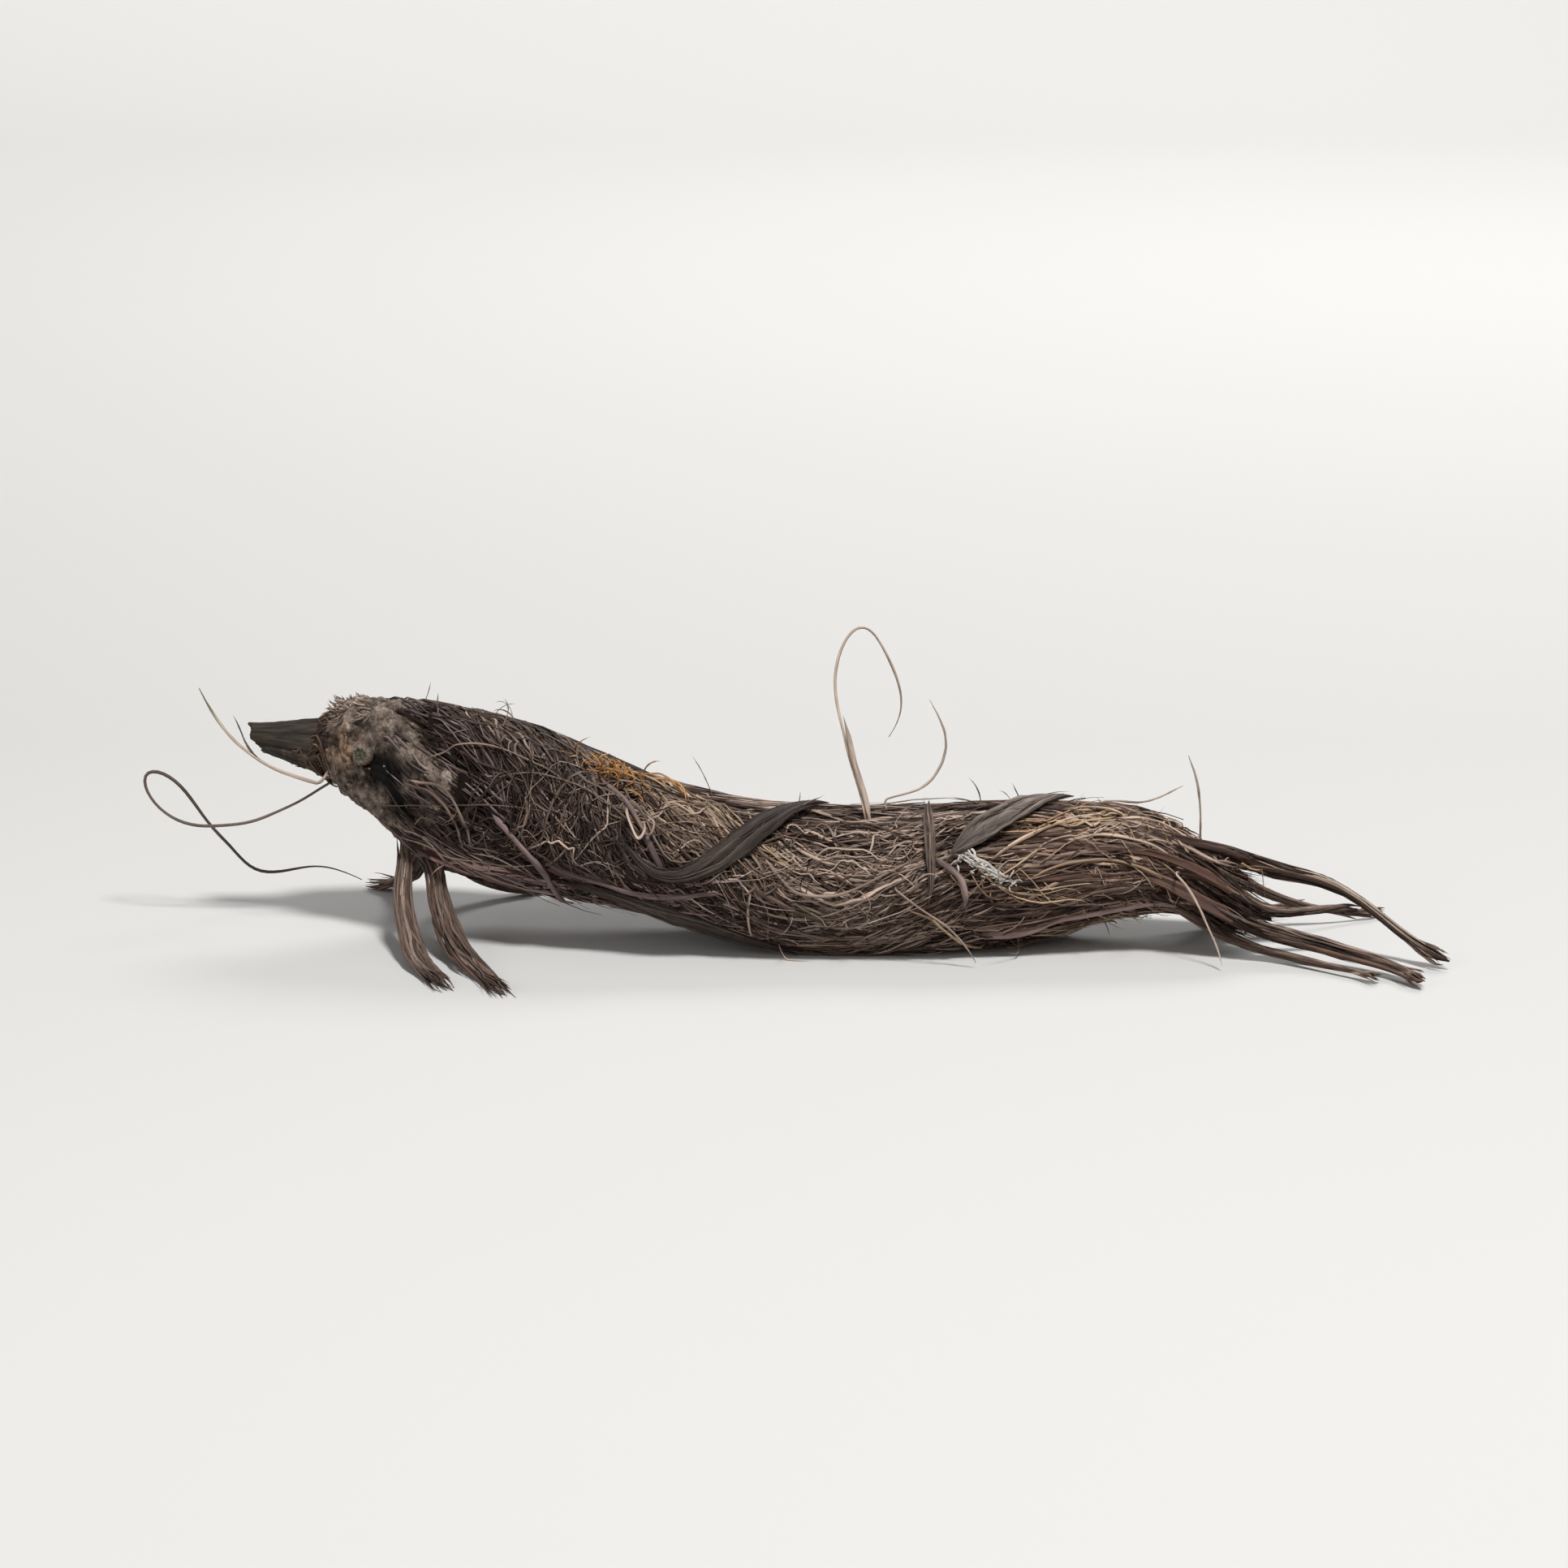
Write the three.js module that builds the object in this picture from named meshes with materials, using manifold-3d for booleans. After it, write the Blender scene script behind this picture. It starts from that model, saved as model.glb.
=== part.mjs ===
// A dried valerian rootstock lying on a flat surface: a knobbly rhizome with a broken stem, its roots swept
// back from it into one loosely twisted hank, thicker roots that lie over the hank and run on as free tips,
// and stray rootlets.
// Millimetres, +Z up. +X runs from the stem to the root tips, and -Y is the side with the cut stem scar.
// A turn is an angle about the hank's line: 0 faces -Y, 90 degrees is the top and 180 the far side.
import * as THREE from "three";
import { mergeVertices } from "three/addons/utils/BufferGeometryUtils.js";
import Module from "manifold-3d";

const wasm = await Module();
wasm.setup();

// Driving dimensions.
const GAP = 0.35; // between pieces that touch
const LOCK_GAP = 0.5; // between a lock and the rhizome that it lies on
const SURFACE = 0; // what the rootstock lies on; its underside is pressed flat there
const LOCKS = 7; // locks of roots that are twisted together into the hank
const LOCK_CORE = 0.14; // radius of the loose middle of the hank, as a share of the hank's
const LOCK_SIDES = 12;
const LOCK_STEPS = 28;
const LOCK_SQUARE = 0.55; // how square a lock's section is: 1 is round, 0 is a full wedge
const LOCK_TIP = 0.22; // size of a lock's far end, as a share of its full section
const LOCK_RISE = 5; // length over which a lock swells where it leaves the rhizome
const LOCK_ROOT = 0.4; // its thickness where it starts, as a share of its full one
const LOCK_TAPER = 10; // length over which it narrows at its far end
const ROOTLET_RADIUS = 0.34;

const RHIZOME_START = -55;
const RHIZOME_END = -21.5;
const RHIZOME_SIDES = 36;
const RHIZOME_STEPS = 24;
const RING_SPACING = 3.1; // of the scars that ring the rhizome
const RING_HEIGHT = 0.13;

// x, then the y and z of the hank's line, then its half width and half height there.
const hank = profile([
  [-58, 9.6, 20.2, 8, 8],
  [-52, 9, 19.3, 8.2, 8.2],
  [-47, 8, 17.8, 8.6, 8.3],
  [-42, 7, 15.9, 9.2, 8.9],
  [-36, 5.8, 14.7, 9.7, 8.7],
  [-29, 4, 13.3, 10, 8.3],
  [-21, 2, 11.2, 9.7, 7],
  [-12, 0.5, 8.8, 9.5, 6.9],
  [-2, 0, 7, 9.5, 7.4],
  [10, 0, 7, 9.4, 7.4],
  [20, 0.5, 7.4, 8.8, 7.3],
  [30, 0.5, 8.8, 7.3, 5.7],
  [37, -0.4, 8.8, 6.1, 4.5],
  [43, -1.8, 6.8, 5.2, 4],
  [49, -3, 4.6, 4, 2.8],
]);

// x, then how far the locks have turned: down across the near side, then up again.
const twist = profile([
  [-46, degrees(74)],
  [-32, degrees(50)],
  [-16, degrees(16)],
  [0, 0],
  [14, degrees(14)],
  [30, degrees(44)],
  [49, degrees(66)],
]);

// x, then the radius of the rhizome about the hank's line.
const rhizomeProfile = profile([
  [-55, 1.6],
  [-54.2, 3.4],
  [-52.6, 4.7],
  [-50.5, 5.6],
  [-48, 6.6],
  [-45, 7.6],
  [-42, 8],
  [-38, 7.6],
  [-34, 6.8],
  [-30, 5.4],
  [-26, 3.5],
  [-23, 1.8],
  [-21.5, 0.7],
]);

// Buds, root scars and hollows on the rhizome: x, turn, height (below 0 is a hollow) and width.
const KNOBS = [
  [-51, 62, 1.3, 2.4],
  [-46.5, 84, 0.5, 3.2],
  [-44.4, 22, 1, 1.5],
  [-42.6, 4, 0.9, 1.4],
  [-49.2, -22, -1.3, 1.5],
  [-47.6, -48, 0.9, 2],
  [-44.6, -62, 1.3, 2.2],
  [-52.6, -40, 0.7, 1.6],
  [-46.4, -8, -0.6, 1.2],
  [-50.8, 140, 1.1, 2.2],
  [-46, 172, 1.2, 2.3],
  [-49.5, 205, -0.8, 1.6],
  [-44.8, 232, 1.1, 2.2],
  [-51.5, 262, 0.8, 1.8],
];

// Each lock's start and end.
const LOCK_ENDS = [
  [-43, 45.5],
  [-44, 44.5],
  [-43.5, 43.5],
  [-42.8, 46.5],
  [-43.4, 44.5],
  [-41.6, 48],
  [-39.6, 42.5],
];

// Thick roots over the hank, as x and turn, and then on past its end, as x, y and z.
const LONG_ROOTS = [
  {
    over: [[25, 66], [30, 60], [34, 55], [39, 50]],
    free: [
      [43.6, -3, 10.7], [47.4, -2, 8.6], [51.6, -3, 8.1], [55.4, -4.6, 7.2],
      [58.6, -6.6, 5.2], [61.8, -9, 3], [64, -10.8, 1.7], [66.4, -12.4, 1],
    ],
    radius: 0.9,
  },
  {
    over: [[20, 34], [28, 30], [35, 26], [41, 20]],
    free: [[47.4, -6, 4.6], [52, -5.4, 4.9], [55.4, -5, 5], [57.6, -4.4, 4.4]],
    radius: 0.9,
  },
  {
    over: [[22, 8], [29, 6], [35, 1], [40, -12]],
    free: [
      [46.2, -8.2, 3.4], [51.6, -9.8, 2.4], [56.4, -12.6, 1.6],
      [60, -15.4, 1.15], [61.7, -18.2, 0.9], [62.2, -20.9, 0.85],
    ],
    radius: 0.9,
  },
  {
    over: [[24, -16], [30, -20], [35, -30], [38.6, -42]],
    free: [
      [43, -6.9, 2.1], [47.6, -8.7, 1.1], [51.2, -11.6, 0.85], [55.2, -15.4, 0.85], [58.4, -18.4, 0.85],
    ],
    radius: 0.8,
  },
  {
    over: [[15, 146], [24, 152], [33, 158], [40, 164]],
    free: [[47, 5, 4.6], [53, 6.6, 2.2], [58, 8.4, 0.95], [62, 10.4, 0.85]],
    radius: 0.85,
  },
  {
    over: [[12, 206], [22, 210], [32, 214]],
    free: [[40, 6.6, 3.4], [45.5, 9, 1.4], [50, 11.8, 0.85], [53.6, 15.4, 0.8]],
    radius: 0.8,
  },
];

const LONG_WIDTH = 1.15; // a long root's width over its thickness

// Flattened roots that cross the hank, as x and turn, with their half width.
const FLAT_ROOTS = [
  {
    over: [
      [-22.2, 20], [-20.6, 2], [-17.6, -9], [-13.8, 7], [-10.2, 29],
      [-6.8, 54], [-3.2, 82], [0.4, 106],
    ],
    half: 1.45,
  },
  { over: [[11, 92], [11, 60], [11.2, 32], [11.3, 12], [11.1, -4]], half: 0.65 },
  { over: [[13.3, 30], [15, 44], [17.8, 58], [20.9, 74], [24, 93], [26.6, 114]], half: 1.2 },
  { over: [[-29, -32], [-20, -38], [-11, -46], [-3, -52]], half: 1.1 },
  { over: [[-30, 128], [-20, 142], [-9, 168], [2, 186], [11, 192]], half: 1.3 },
  { over: [[-36, 214], [-27, 202], [-16, 206], [-6, 224]], half: 1.2 },
];
const FLAT_HALF_THICKNESS = 0.5;

// Side roots that leave the rhizome's underside and splay over the surface, holding the crown up.
const SIDE_ROOTS = [
  {
    path: [
      [-42.6, 2.6, 8.4], [-42.2, -0.8, 5.6], [-40.8, -5, 2.9],
      [-39, -10, 1.2], [-36.6, -16, 0.7], [-33.8, -24, 0.6],
    ],
    half: 1.3,
  },
  {
    path: [
      [-45.4, 3.2, 9.4], [-46, -1.2, 5.8], [-45, -6, 2.8],
      [-43.8, -11.4, 1.1], [-41.6, -17, 0.7], [-40.4, -21.6, 0.6],
    ],
    half: 1.05,
  },
  {
    path: [[-44, 12.2, 9], [-45, 15.6, 5.4], [-46.6, 19, 2.2], [-48.4, 22, 0.9], [-51, 24.6, 0.6]],
    half: 1.2,
  },
  {
    path: [[-41.4, 12.8, 7.4], [-40.6, 15.6, 4.8], [-38, 18, 2.1], [-33.6, 20.2, 0.7], [-30.6, 22, 0.6]],
    half: 1,
  },
];
const SIDE_HALF_THICKNESS = 0.55;

// Stray rootlets, as x, y and z.
const ROOTLETS = [
  [
    [3.9, -1.6, 15.2], [3.3, -0.2, 17.6], [2.4, 1, 21.5], [1.5, 2, 24.8], [1, 2.8, 28.5], [1.5, 3.4, 31.8],
    [2.7, 4, 34], [3.9, 4.6, 34.6], [5.2, 5.4, 33.7], [6.6, 6.4, 31.1], [7.6, 7.4, 28.3], [8.4, 8.6, 24.7],
    [8, 9.6, 22.3], [6.8, 10.4, 20.3],
  ],
  [[6.8, 1.6, 15.5], [10.2, 1.8, 16.4], [12.8, 1.4, 18.8], [13.2, 1, 22.8], [11.2, 0.8, 26.8]],
  [[40.6, 1.6, 11.6], [40.4, 1.4, 15.4], [39.4, 1.2, 20.4]],
  [[30.4, 1.8, 15.2], [34.6, 1.6, 15.2], [38.6, 1.2, 17]],
  [[-55.6, 5.6, 16.2], [-60, 6.6, 17.6], [-64.2, 7.8, 20], [-66.8, 8.6, 22.8], [-68.6, 9.4, 26.2]],
  [
    [-54.3, 9.4, 15.4], [-59.4, 10.4, 12.3], [-64, 11.2, 10.4], [-68.4, 11.8, 9.9], [-72, 12, 10.7],
    [-74.4, 12.2, 12.8], [-75.4, 12.4, 15.2], [-75, 12.6, 16.8], [-73.6, 12.9, 16.5], [-71.2, 13.4, 14.2],
    [-69, 14, 11.1], [-66.5, 14.6, 7.7], [-64.3, 15.2, 4.9], [-62, 15.8, 3.4], [-59.4, 16.3, 3.8],
    [-55, 17, 4.2], [-51.4, 17.6, 2.4],
  ],
  [[7.6, -10.1, 8.1], [10.8, -10.9, 6], [14, -11.1, 3.4], [15.9, -11.4, 0.5]],
  [[37.4, -8.6, 9.4], [40.4, -10.2, 5.8], [41.8, -11.4, 2], [42, -12.8, 0.5]],
];

const STUB_START = [-62.4, 10.2, 20.4];
const STUB_END = [-51, 9, 19.4];
// Half heights and half widths of the stub at its start and end.
const STUB_HIGH = [1.65, 2.9];
const STUB_WIDE = [1.5, 2.5];
const STUB_RIDGE = 0.07;
const PITH_HALVES = [1.6, 0.95, 1.15];
const SCAR_AT = [-50.4, degrees(12)];
const SCAR_RADIUS = 1.35;
const SCAR_BORE = 0.8;
const SCAR_DEPTH = 0.6; // how far the scar's ring is sunk into the bark
const SCAR_RISE = 1.25; // and how far it stands out of it

function degrees(angle) {
  return THREE.MathUtils.degToRad(angle);
}

function mix(a, b, share) {
  return THREE.MathUtils.lerp(a, b, share);
}

// A smooth curve through rows of x and values, as a function from x to the values.
function profile(rows) {
  const places = rows.map((row) => row[0]);
  const values = rows.flatMap((row) => row.slice(1));
  const spline = new THREE.CubicInterpolant(places, values, rows[0].length - 1);
  return (x) => Array.from(spline.evaluate(x));
}

// A number with its sign kept and its size raised to a power, for rounded squares.
function squared(value, power) {
  return Math.sign(value) * Math.abs(value) ** power;
}

// A closed skin: a capped cylinder whose every vertex is placed by its share of the way along, its angle
// round the section, and whether it is on the skin (1) or the middle of a cap (0). Nothing goes below the
// surface.
function sweep(sides, steps, place) {
  const skin = new THREE.CylinderGeometry(1, 1, 1, sides, steps);
  const position = skin.attributes.position;
  for (let i = 0; i < position.count; i++) {
    const across = Math.hypot(position.getX(i), position.getZ(i));
    const angle = Math.atan2(position.getX(i), position.getZ(i));
    const point = place(position.getY(i) + 0.5, angle, across > 0.5 ? 1 : 0);
    position.setXYZ(i, point.x, point.y, Math.max(point.z, SURFACE));
  }
  return skin;
}

// A point lifted off the hank, whose section is an ellipse.
function onHank(x, turn, lift) {
  const [y, z, wide, high] = hank(x);
  const out = new THREE.Vector3(0, -Math.cos(turn) / wide, Math.sin(turn) / high).normalize();
  const point = new THREE.Vector3(x, y - wide * Math.cos(turn), z + high * Math.sin(turn));
  return { point: point.addScaledVector(out, lift), out };
}

// The rhizome's radius with its ring scars, buds and hollows.
function rhizomeRadius(x, turn) {
  const [base] = rhizomeProfile(x);
  const rings = RING_HEIGHT * Math.sin((x / RING_SPACING) * 2 * Math.PI);
  const bumps = KNOBS.map(([at, angle, height, width]) => {
    const round = base * Math.sin((turn - degrees(angle)) / 2) * 2;
    return height * Math.exp(-((x - at) ** 2 + round ** 2) / width ** 2);
  });
  return base + rings + bumps.reduce((sum, bump) => sum + bump, 0);
}

function rhizomeSkin(lift) {
  return sweep(RHIZOME_SIDES, RHIZOME_STEPS, (along, angle, onSkin) => {
    const x = mix(RHIZOME_START - lift, RHIZOME_END + lift, 1 - along);
    const within = THREE.MathUtils.clamp(x, RHIZOME_START, RHIZOME_END);
    const radius = onSkin * (rhizomeRadius(within, angle) + lift);
    const [y, z] = hank(x);
    return new THREE.Vector3(x, y - radius * Math.cos(angle), z + radius * Math.sin(angle));
  });
}

// One lock: a rounded wedge of the hank, from the rhizome or the loose middle out to the hank's skin.
function lockSkin(index, [start, end]) {
  const middle = (index / LOCKS) * 2 * Math.PI;
  return sweep(LOCK_SIDES, LOCK_STEPS, (along, angle, onSkin) => {
    const x = mix(start, end, 1 - along);
    const [y, z, wide, high] = hank(x);
    const swell = mix(LOCK_ROOT, 1, smoothed(x, start, start + LOCK_RISE));
    const taper = mix(LOCK_TIP, 1, 1 - smoothed(x, end - LOCK_TAPER, end));
    const outwards = 0.5 + 0.5 * onSkin * swell * taper * squared(Math.cos(angle), LOCK_SQUARE);
    const halfTurn = Math.PI / LOCKS - GAP / (mix(LOCK_CORE, 2, outwards) * Math.min(wide, high));
    const across = onSkin * Math.sqrt(swell) * taper * squared(Math.sin(angle), LOCK_SQUARE);
    const turn = middle + twist(x)[0] + halfTurn * across;
    const reach = Math.hypot(wide * Math.cos(turn), high * Math.sin(turn));
    const depth = mix(Math.max(LOCK_CORE, rhizomeClearance(x, turn) / reach), 1, outwards);
    return new THREE.Vector3(x, y - wide * depth * Math.cos(turn), z + high * depth * Math.sin(turn));
  });
}

function rhizomeClearance(x, turn) {
  return rhizomeRadius(Math.min(x, RHIZOME_END), turn) + LOCK_GAP;
}

function smoothed(x, from, to) {
  return THREE.MathUtils.smoothstep(x, from, to);
}

// A root of a flattened section along a curve. out(share) gives the way its flat side faces, if it has one.
function rootSkin(curve, sides, steps, half, thick, out) {
  const frames = curve.computeFrenetFrames(steps);
  return sweep(sides, steps, (along, angle, onSkin) => {
    const share = 1 - along;
    const step = Math.round(share * steps);
    const forward = frames.tangents[step];
    const facing = out ? out(share) : frames.normals[step];
    const up = facing.clone().addScaledVector(forward, -facing.dot(forward)).normalize();
    const side = new THREE.Vector3().crossVectors(up, forward);
    const ends = onSkin * endTaper(share);
    return curve
      .getPointAt(share)
      .addScaledVector(side, ends * half * Math.sin(angle))
      .addScaledVector(up, ends * thick * Math.cos(angle));
  });
}

// Roots narrow towards both ends, and more at the free one.
function endTaper(share) {
  return 0.45 + 0.55 * smoothed(share, 0, 0.12) - 0.5 * smoothed(share, 0.7, 1);
}

function toVector([x, y, z]) {
  return new THREE.Vector3(x, y, z);
}

function longRootSkin({ over, free, radius }) {
  const laid = over.map(([x, turn]) => onHank(x, degrees(turn), GAP + radius).point);
  const curve = new THREE.CatmullRomCurve3([...laid, ...free.map(toVector)]);
  return rootSkin(curve, 8, 22, radius * LONG_WIDTH, radius);
}

function flatRootSkin({ over, half }) {
  const lift = GAP + FLAT_HALF_THICKNESS;
  const curve = new THREE.CatmullRomCurve3(over.map(([x, turn]) => onHank(x, degrees(turn), lift).point));
  const facing = (share) => {
    const point = curve.getPointAt(share);
    const [y, z, wide, high] = hank(point.x);
    return new THREE.Vector3(0, (point.y - y) / wide ** 2, (point.z - z) / high ** 2).normalize();
  };
  return rootSkin(curve, 8, 16, half, FLAT_HALF_THICKNESS, facing);
}

function sideRootSkin({ path, half }) {
  const curve = new THREE.CatmullRomCurve3(path.map(toVector));
  return rootSkin(curve, 8, 14, half, SIDE_HALF_THICKNESS, () => new THREE.Vector3(0, 0, 1));
}

function rootletSkin(path) {
  const curve = new THREE.CatmullRomCurve3(path.map(toVector));
  return rootSkin(curve, 6, 6 + 2 * path.length, ROOTLET_RADIUS, ROOTLET_RADIUS);
}

// The broken, flattened base of the stem, hollow at its torn end.
function stemStubSkin() {
  const curve = new THREE.LineCurve3(toVector(STUB_START), toVector(STUB_END));
  return sweep(14, 10, (along, angle, onSkin) => {
    const share = 1 - along;
    const point = curve.getPointAt(share);
    const ridge = 1 + STUB_RIDGE * Math.sin(4 * angle);
    const high = onSkin * ridge * mix(...STUB_HIGH, smoothed(share, 0, 0.8));
    const wide = onSkin * ridge * mix(...STUB_WIDE, smoothed(share, 0, 0.8));
    return point.add(new THREE.Vector3(0, -wide * Math.cos(angle), high * Math.sin(angle)));
  });
}

function stemPith() {
  return new THREE.SphereGeometry(1, 12, 8).scale(...PITH_HALVES).translate(...STUB_START);
}

// The ring left by a cut side stem.
function stemScarSkin() {
  const outline = [
    [0, -SCAR_DEPTH],
    [SCAR_RADIUS * 1.1, -SCAR_DEPTH],
    [SCAR_RADIUS, SCAR_RISE],
    [SCAR_BORE, SCAR_RISE],
    [SCAR_BORE * 0.8, SCAR_RISE * 0.4],
    [0, SCAR_RISE * 0.3],
  ];
  const ring = new THREE.LatheGeometry(outline.map(([r, h]) => new THREE.Vector2(r, h)), 14);
  const [x, turn] = SCAR_AT;
  const [y, z] = hank(x);
  const out = new THREE.Vector3(-0.25, -Math.cos(turn), Math.sin(turn)).normalize();
  const radius = rhizomeRadius(x, turn);
  ring.applyQuaternion(new THREE.Quaternion().setFromUnitVectors(new THREE.Vector3(0, 1, 0), out));
  return ring.translate(x, y - radius * Math.cos(turn), z + radius * Math.sin(turn));
}

// Booleans: a closed geometry to a solid and back.
function toSolid(geometry) {
  const bare = geometry.clone();
  bare.deleteAttribute("normal");
  bare.deleteAttribute("uv");
  const merged = mergeVertices(bare, 1e-4);
  return new wasm.Manifold(
    new wasm.Mesh({
      numProp: 3,
      vertProperties: merged.attributes.position.array,
      triVerts: new Uint32Array(merged.index.array),
    }),
  );
}

function toGeometry(solid) {
  const mesh = solid.getMesh();
  const geometry = new THREE.BufferGeometry();
  geometry.setAttribute("position", new THREE.BufferAttribute(new Float32Array(mesh.vertProperties), 3));
  geometry.setIndex(new THREE.BufferAttribute(new Uint32Array(mesh.triVerts), 1));
  geometry.computeVertexNormals();
  return geometry;
}

const rhizomeClear = toSolid(rhizomeSkin(GAP));

// What is left of a skin outside the rhizome and its gap: the largest body, without slivers.
function clearOfRhizome(skin) {
  const bodies = toSolid(skin).subtract(rhizomeClear).decompose();
  return bodies.sort((a, b) => b.volume() - a.volume())[0];
}

const materials = {
  rhizome: new THREE.MeshStandardMaterial({ color: "#564c46", roughness: 0.9, metalness: 0 }),
  stem: new THREE.MeshStandardMaterial({ color: "#463f38", roughness: 0.85, metalness: 0 }),
  fineRoot: new THREE.MeshStandardMaterial({ color: "#65564c", roughness: 0.8, metalness: 0 }),
  flatRoot: new THREE.MeshStandardMaterial({ color: "#483e39", roughness: 0.75, metalness: 0 }),
  longRoot: new THREE.MeshStandardMaterial({ color: "#5b4740", roughness: 0.75, metalness: 0 }),
  rootlet: new THREE.MeshStandardMaterial({ color: "#8a7563", roughness: 0.8, metalness: 0 }),
};

const pieces = new THREE.Group();

function add(name, geometry, material) {
  const mesh = new THREE.Mesh(geometry, material);
  mesh.name = name;
  pieces.add(mesh);
}

add("rhizome", rhizomeSkin(0), materials.rhizome);
add("stem_stub", toGeometry(clearOfRhizome(stemStubSkin()).subtract(toSolid(stemPith()))), materials.stem);
add("side_stem_scar", toGeometry(clearOfRhizome(stemScarSkin())), materials.stem);
LOCK_ENDS.forEach((ends, i) => {
  add(`root_lock_${i + 1}`, lockSkin(i, ends), materials.fineRoot);
});
LONG_ROOTS.forEach((root, i) => add(`long_root_${i + 1}`, longRootSkin(root), materials.longRoot));
FLAT_ROOTS.forEach((root, i) => add(`flat_root_${i + 1}`, flatRootSkin(root), materials.flatRoot));
SIDE_ROOTS.forEach((root, i) => {
  add(`side_root_${i + 1}`, toGeometry(clearOfRhizome(sideRootSkin(root))), materials.flatRoot);
});
ROOTLETS.forEach((path, i) => add(`rootlet_${i + 1}`, rootletSkin(path), materials.rootlet));

// The origin is the middle of the rootstock's box, on the surface it lies on.
const box = new THREE.Box3().setFromObject(pieces);
const centre = box.getCenter(new THREE.Vector3());
pieces.position.set(-centre.x, -centre.y, -box.min.z);

const rootstock = new THREE.Group();
rootstock.add(pieces);

export default rootstock;
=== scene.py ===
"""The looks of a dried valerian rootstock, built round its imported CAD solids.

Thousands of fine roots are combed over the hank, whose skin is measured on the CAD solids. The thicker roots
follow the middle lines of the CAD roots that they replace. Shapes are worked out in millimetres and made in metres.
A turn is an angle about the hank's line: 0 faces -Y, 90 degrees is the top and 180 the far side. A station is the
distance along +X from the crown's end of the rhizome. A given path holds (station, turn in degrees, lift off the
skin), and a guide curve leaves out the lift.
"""
import heapq
import math

import bpy
import numpy as np
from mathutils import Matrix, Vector, noise
from mathutils.bvhtree import BVHTree


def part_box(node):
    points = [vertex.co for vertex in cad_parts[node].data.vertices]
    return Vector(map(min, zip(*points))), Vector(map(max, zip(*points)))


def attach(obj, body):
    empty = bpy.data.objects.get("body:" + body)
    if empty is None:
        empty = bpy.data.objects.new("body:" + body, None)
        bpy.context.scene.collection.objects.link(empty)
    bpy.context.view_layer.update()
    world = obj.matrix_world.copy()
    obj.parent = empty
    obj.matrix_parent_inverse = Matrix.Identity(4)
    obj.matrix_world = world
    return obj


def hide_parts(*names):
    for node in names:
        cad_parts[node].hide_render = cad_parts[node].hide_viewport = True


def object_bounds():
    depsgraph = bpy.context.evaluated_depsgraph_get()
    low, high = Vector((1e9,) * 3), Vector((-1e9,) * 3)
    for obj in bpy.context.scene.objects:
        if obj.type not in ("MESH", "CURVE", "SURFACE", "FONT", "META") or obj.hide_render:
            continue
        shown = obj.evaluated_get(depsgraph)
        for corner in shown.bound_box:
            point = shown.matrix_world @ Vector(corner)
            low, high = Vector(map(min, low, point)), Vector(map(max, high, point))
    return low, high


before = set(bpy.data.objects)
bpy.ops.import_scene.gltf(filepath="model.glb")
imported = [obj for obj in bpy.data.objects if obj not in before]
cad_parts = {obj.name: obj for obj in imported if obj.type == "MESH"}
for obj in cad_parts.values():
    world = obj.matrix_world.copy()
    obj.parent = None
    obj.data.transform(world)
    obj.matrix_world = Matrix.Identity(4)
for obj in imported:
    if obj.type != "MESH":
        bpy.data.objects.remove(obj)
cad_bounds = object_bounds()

MM = 0.001
SEED = 11
FLOOR_GAP = 0.02  # mm kept between any root and the floor
THIN_EDGE = 0.02  # mm, the thickness left where a flat root tapers away
TUFT = 5  # fine roots that run nearly together
CROWN_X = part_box("rhizome")[0][0] / MM
HANK_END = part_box("root_lock_6")[1][0] / MM - CROWN_X  # station of the far end of the longest lock

# Camera, as far off and as high as the pile was seen from.
CAMERA_DISTANCE = 0.62
CAMERA_ELEVATION = 13
CAMERA_FILL = 0.84  # share of the picture's width that the rootstock spans

# sRGB colours.
TAN = (188, 167, 152)
STRAW = (186, 160, 128)
BROWN = (134, 113, 101)
GREY_BROWN = (108, 97, 89)
DARK_BROWN = (64, 52, 45)
RED_BROWN = (128, 92, 78)
RUST = (116, 86, 66)
LEAF_BROWN = (140, 108, 82)
MAUVE = (122, 102, 100)
MAUVE_DARK = (68, 55, 53)
MAUVE_PALE = (198, 178, 172)
STRAP_GREY = (64, 57, 53)
BARK_GREY = (158, 141, 128)
BARK_GOLD = (226, 184, 146)
# Near-black brown, painted as the shade in the bark's cracks and hollows and in the deep gaps among the roots.
SHADOW_BROWN = (34, 26, 21)
STEM_OLIVE = (68, 60, 51)
SCAR_GREEN = (134, 132, 108)
ORANGE = (206, 138, 72)
GOLD = (226, 186, 134)
PALE = (220, 198, 178)
TIP_GREEN = (138, 144, 104)
LINT = (246, 243, 236)
PAPER = (0.8, 0.79, 0.77)  # linear
SHADED_PAPER = (0.4, 0.39, 0.38)  # linear, for the light that bounces off it onto the roots
# Darker roots, among them deep ones darkened as painted shade, are made redder, like warm shade.
REDDEN = np.array([0.92, 1.08, 1.16])  # powers of a root's shade, so that darker ones are redder

rng = np.random.default_rng(SEED)


def linear(colour):
    """An sRGB colour of 0 to 255 as linear light."""
    share = np.asarray(colour, float) / 255
    return np.where(share <= 0.04045, share / 12.92, ((share + 0.055) / 1.055) ** 2.4)


def smooth(value, low=0.0, high=1.0):
    """0 below low, 1 above high, and a soft rise between them."""
    share = np.clip((value - low) / (high - low), 0, 1)
    return share * share * (3 - 2 * share)


def unit(vectors):
    return vectors / np.maximum(np.linalg.norm(vectors, axis=-1, keepdims=True), 1e-9)


def circle(sides):
    """The angles of that many sides, round from 0."""
    return np.arange(sides) * 2 * math.pi / sides


def blend(first, second, share):
    """first where share is 0, and second where it is 1."""
    return first * (1 - share) + second * share


def between(place, knots, values):
    """Rows of values, read off at places among their knots."""
    return np.stack([np.interp(place, knots, column) for column in values.T], -1)


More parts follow.
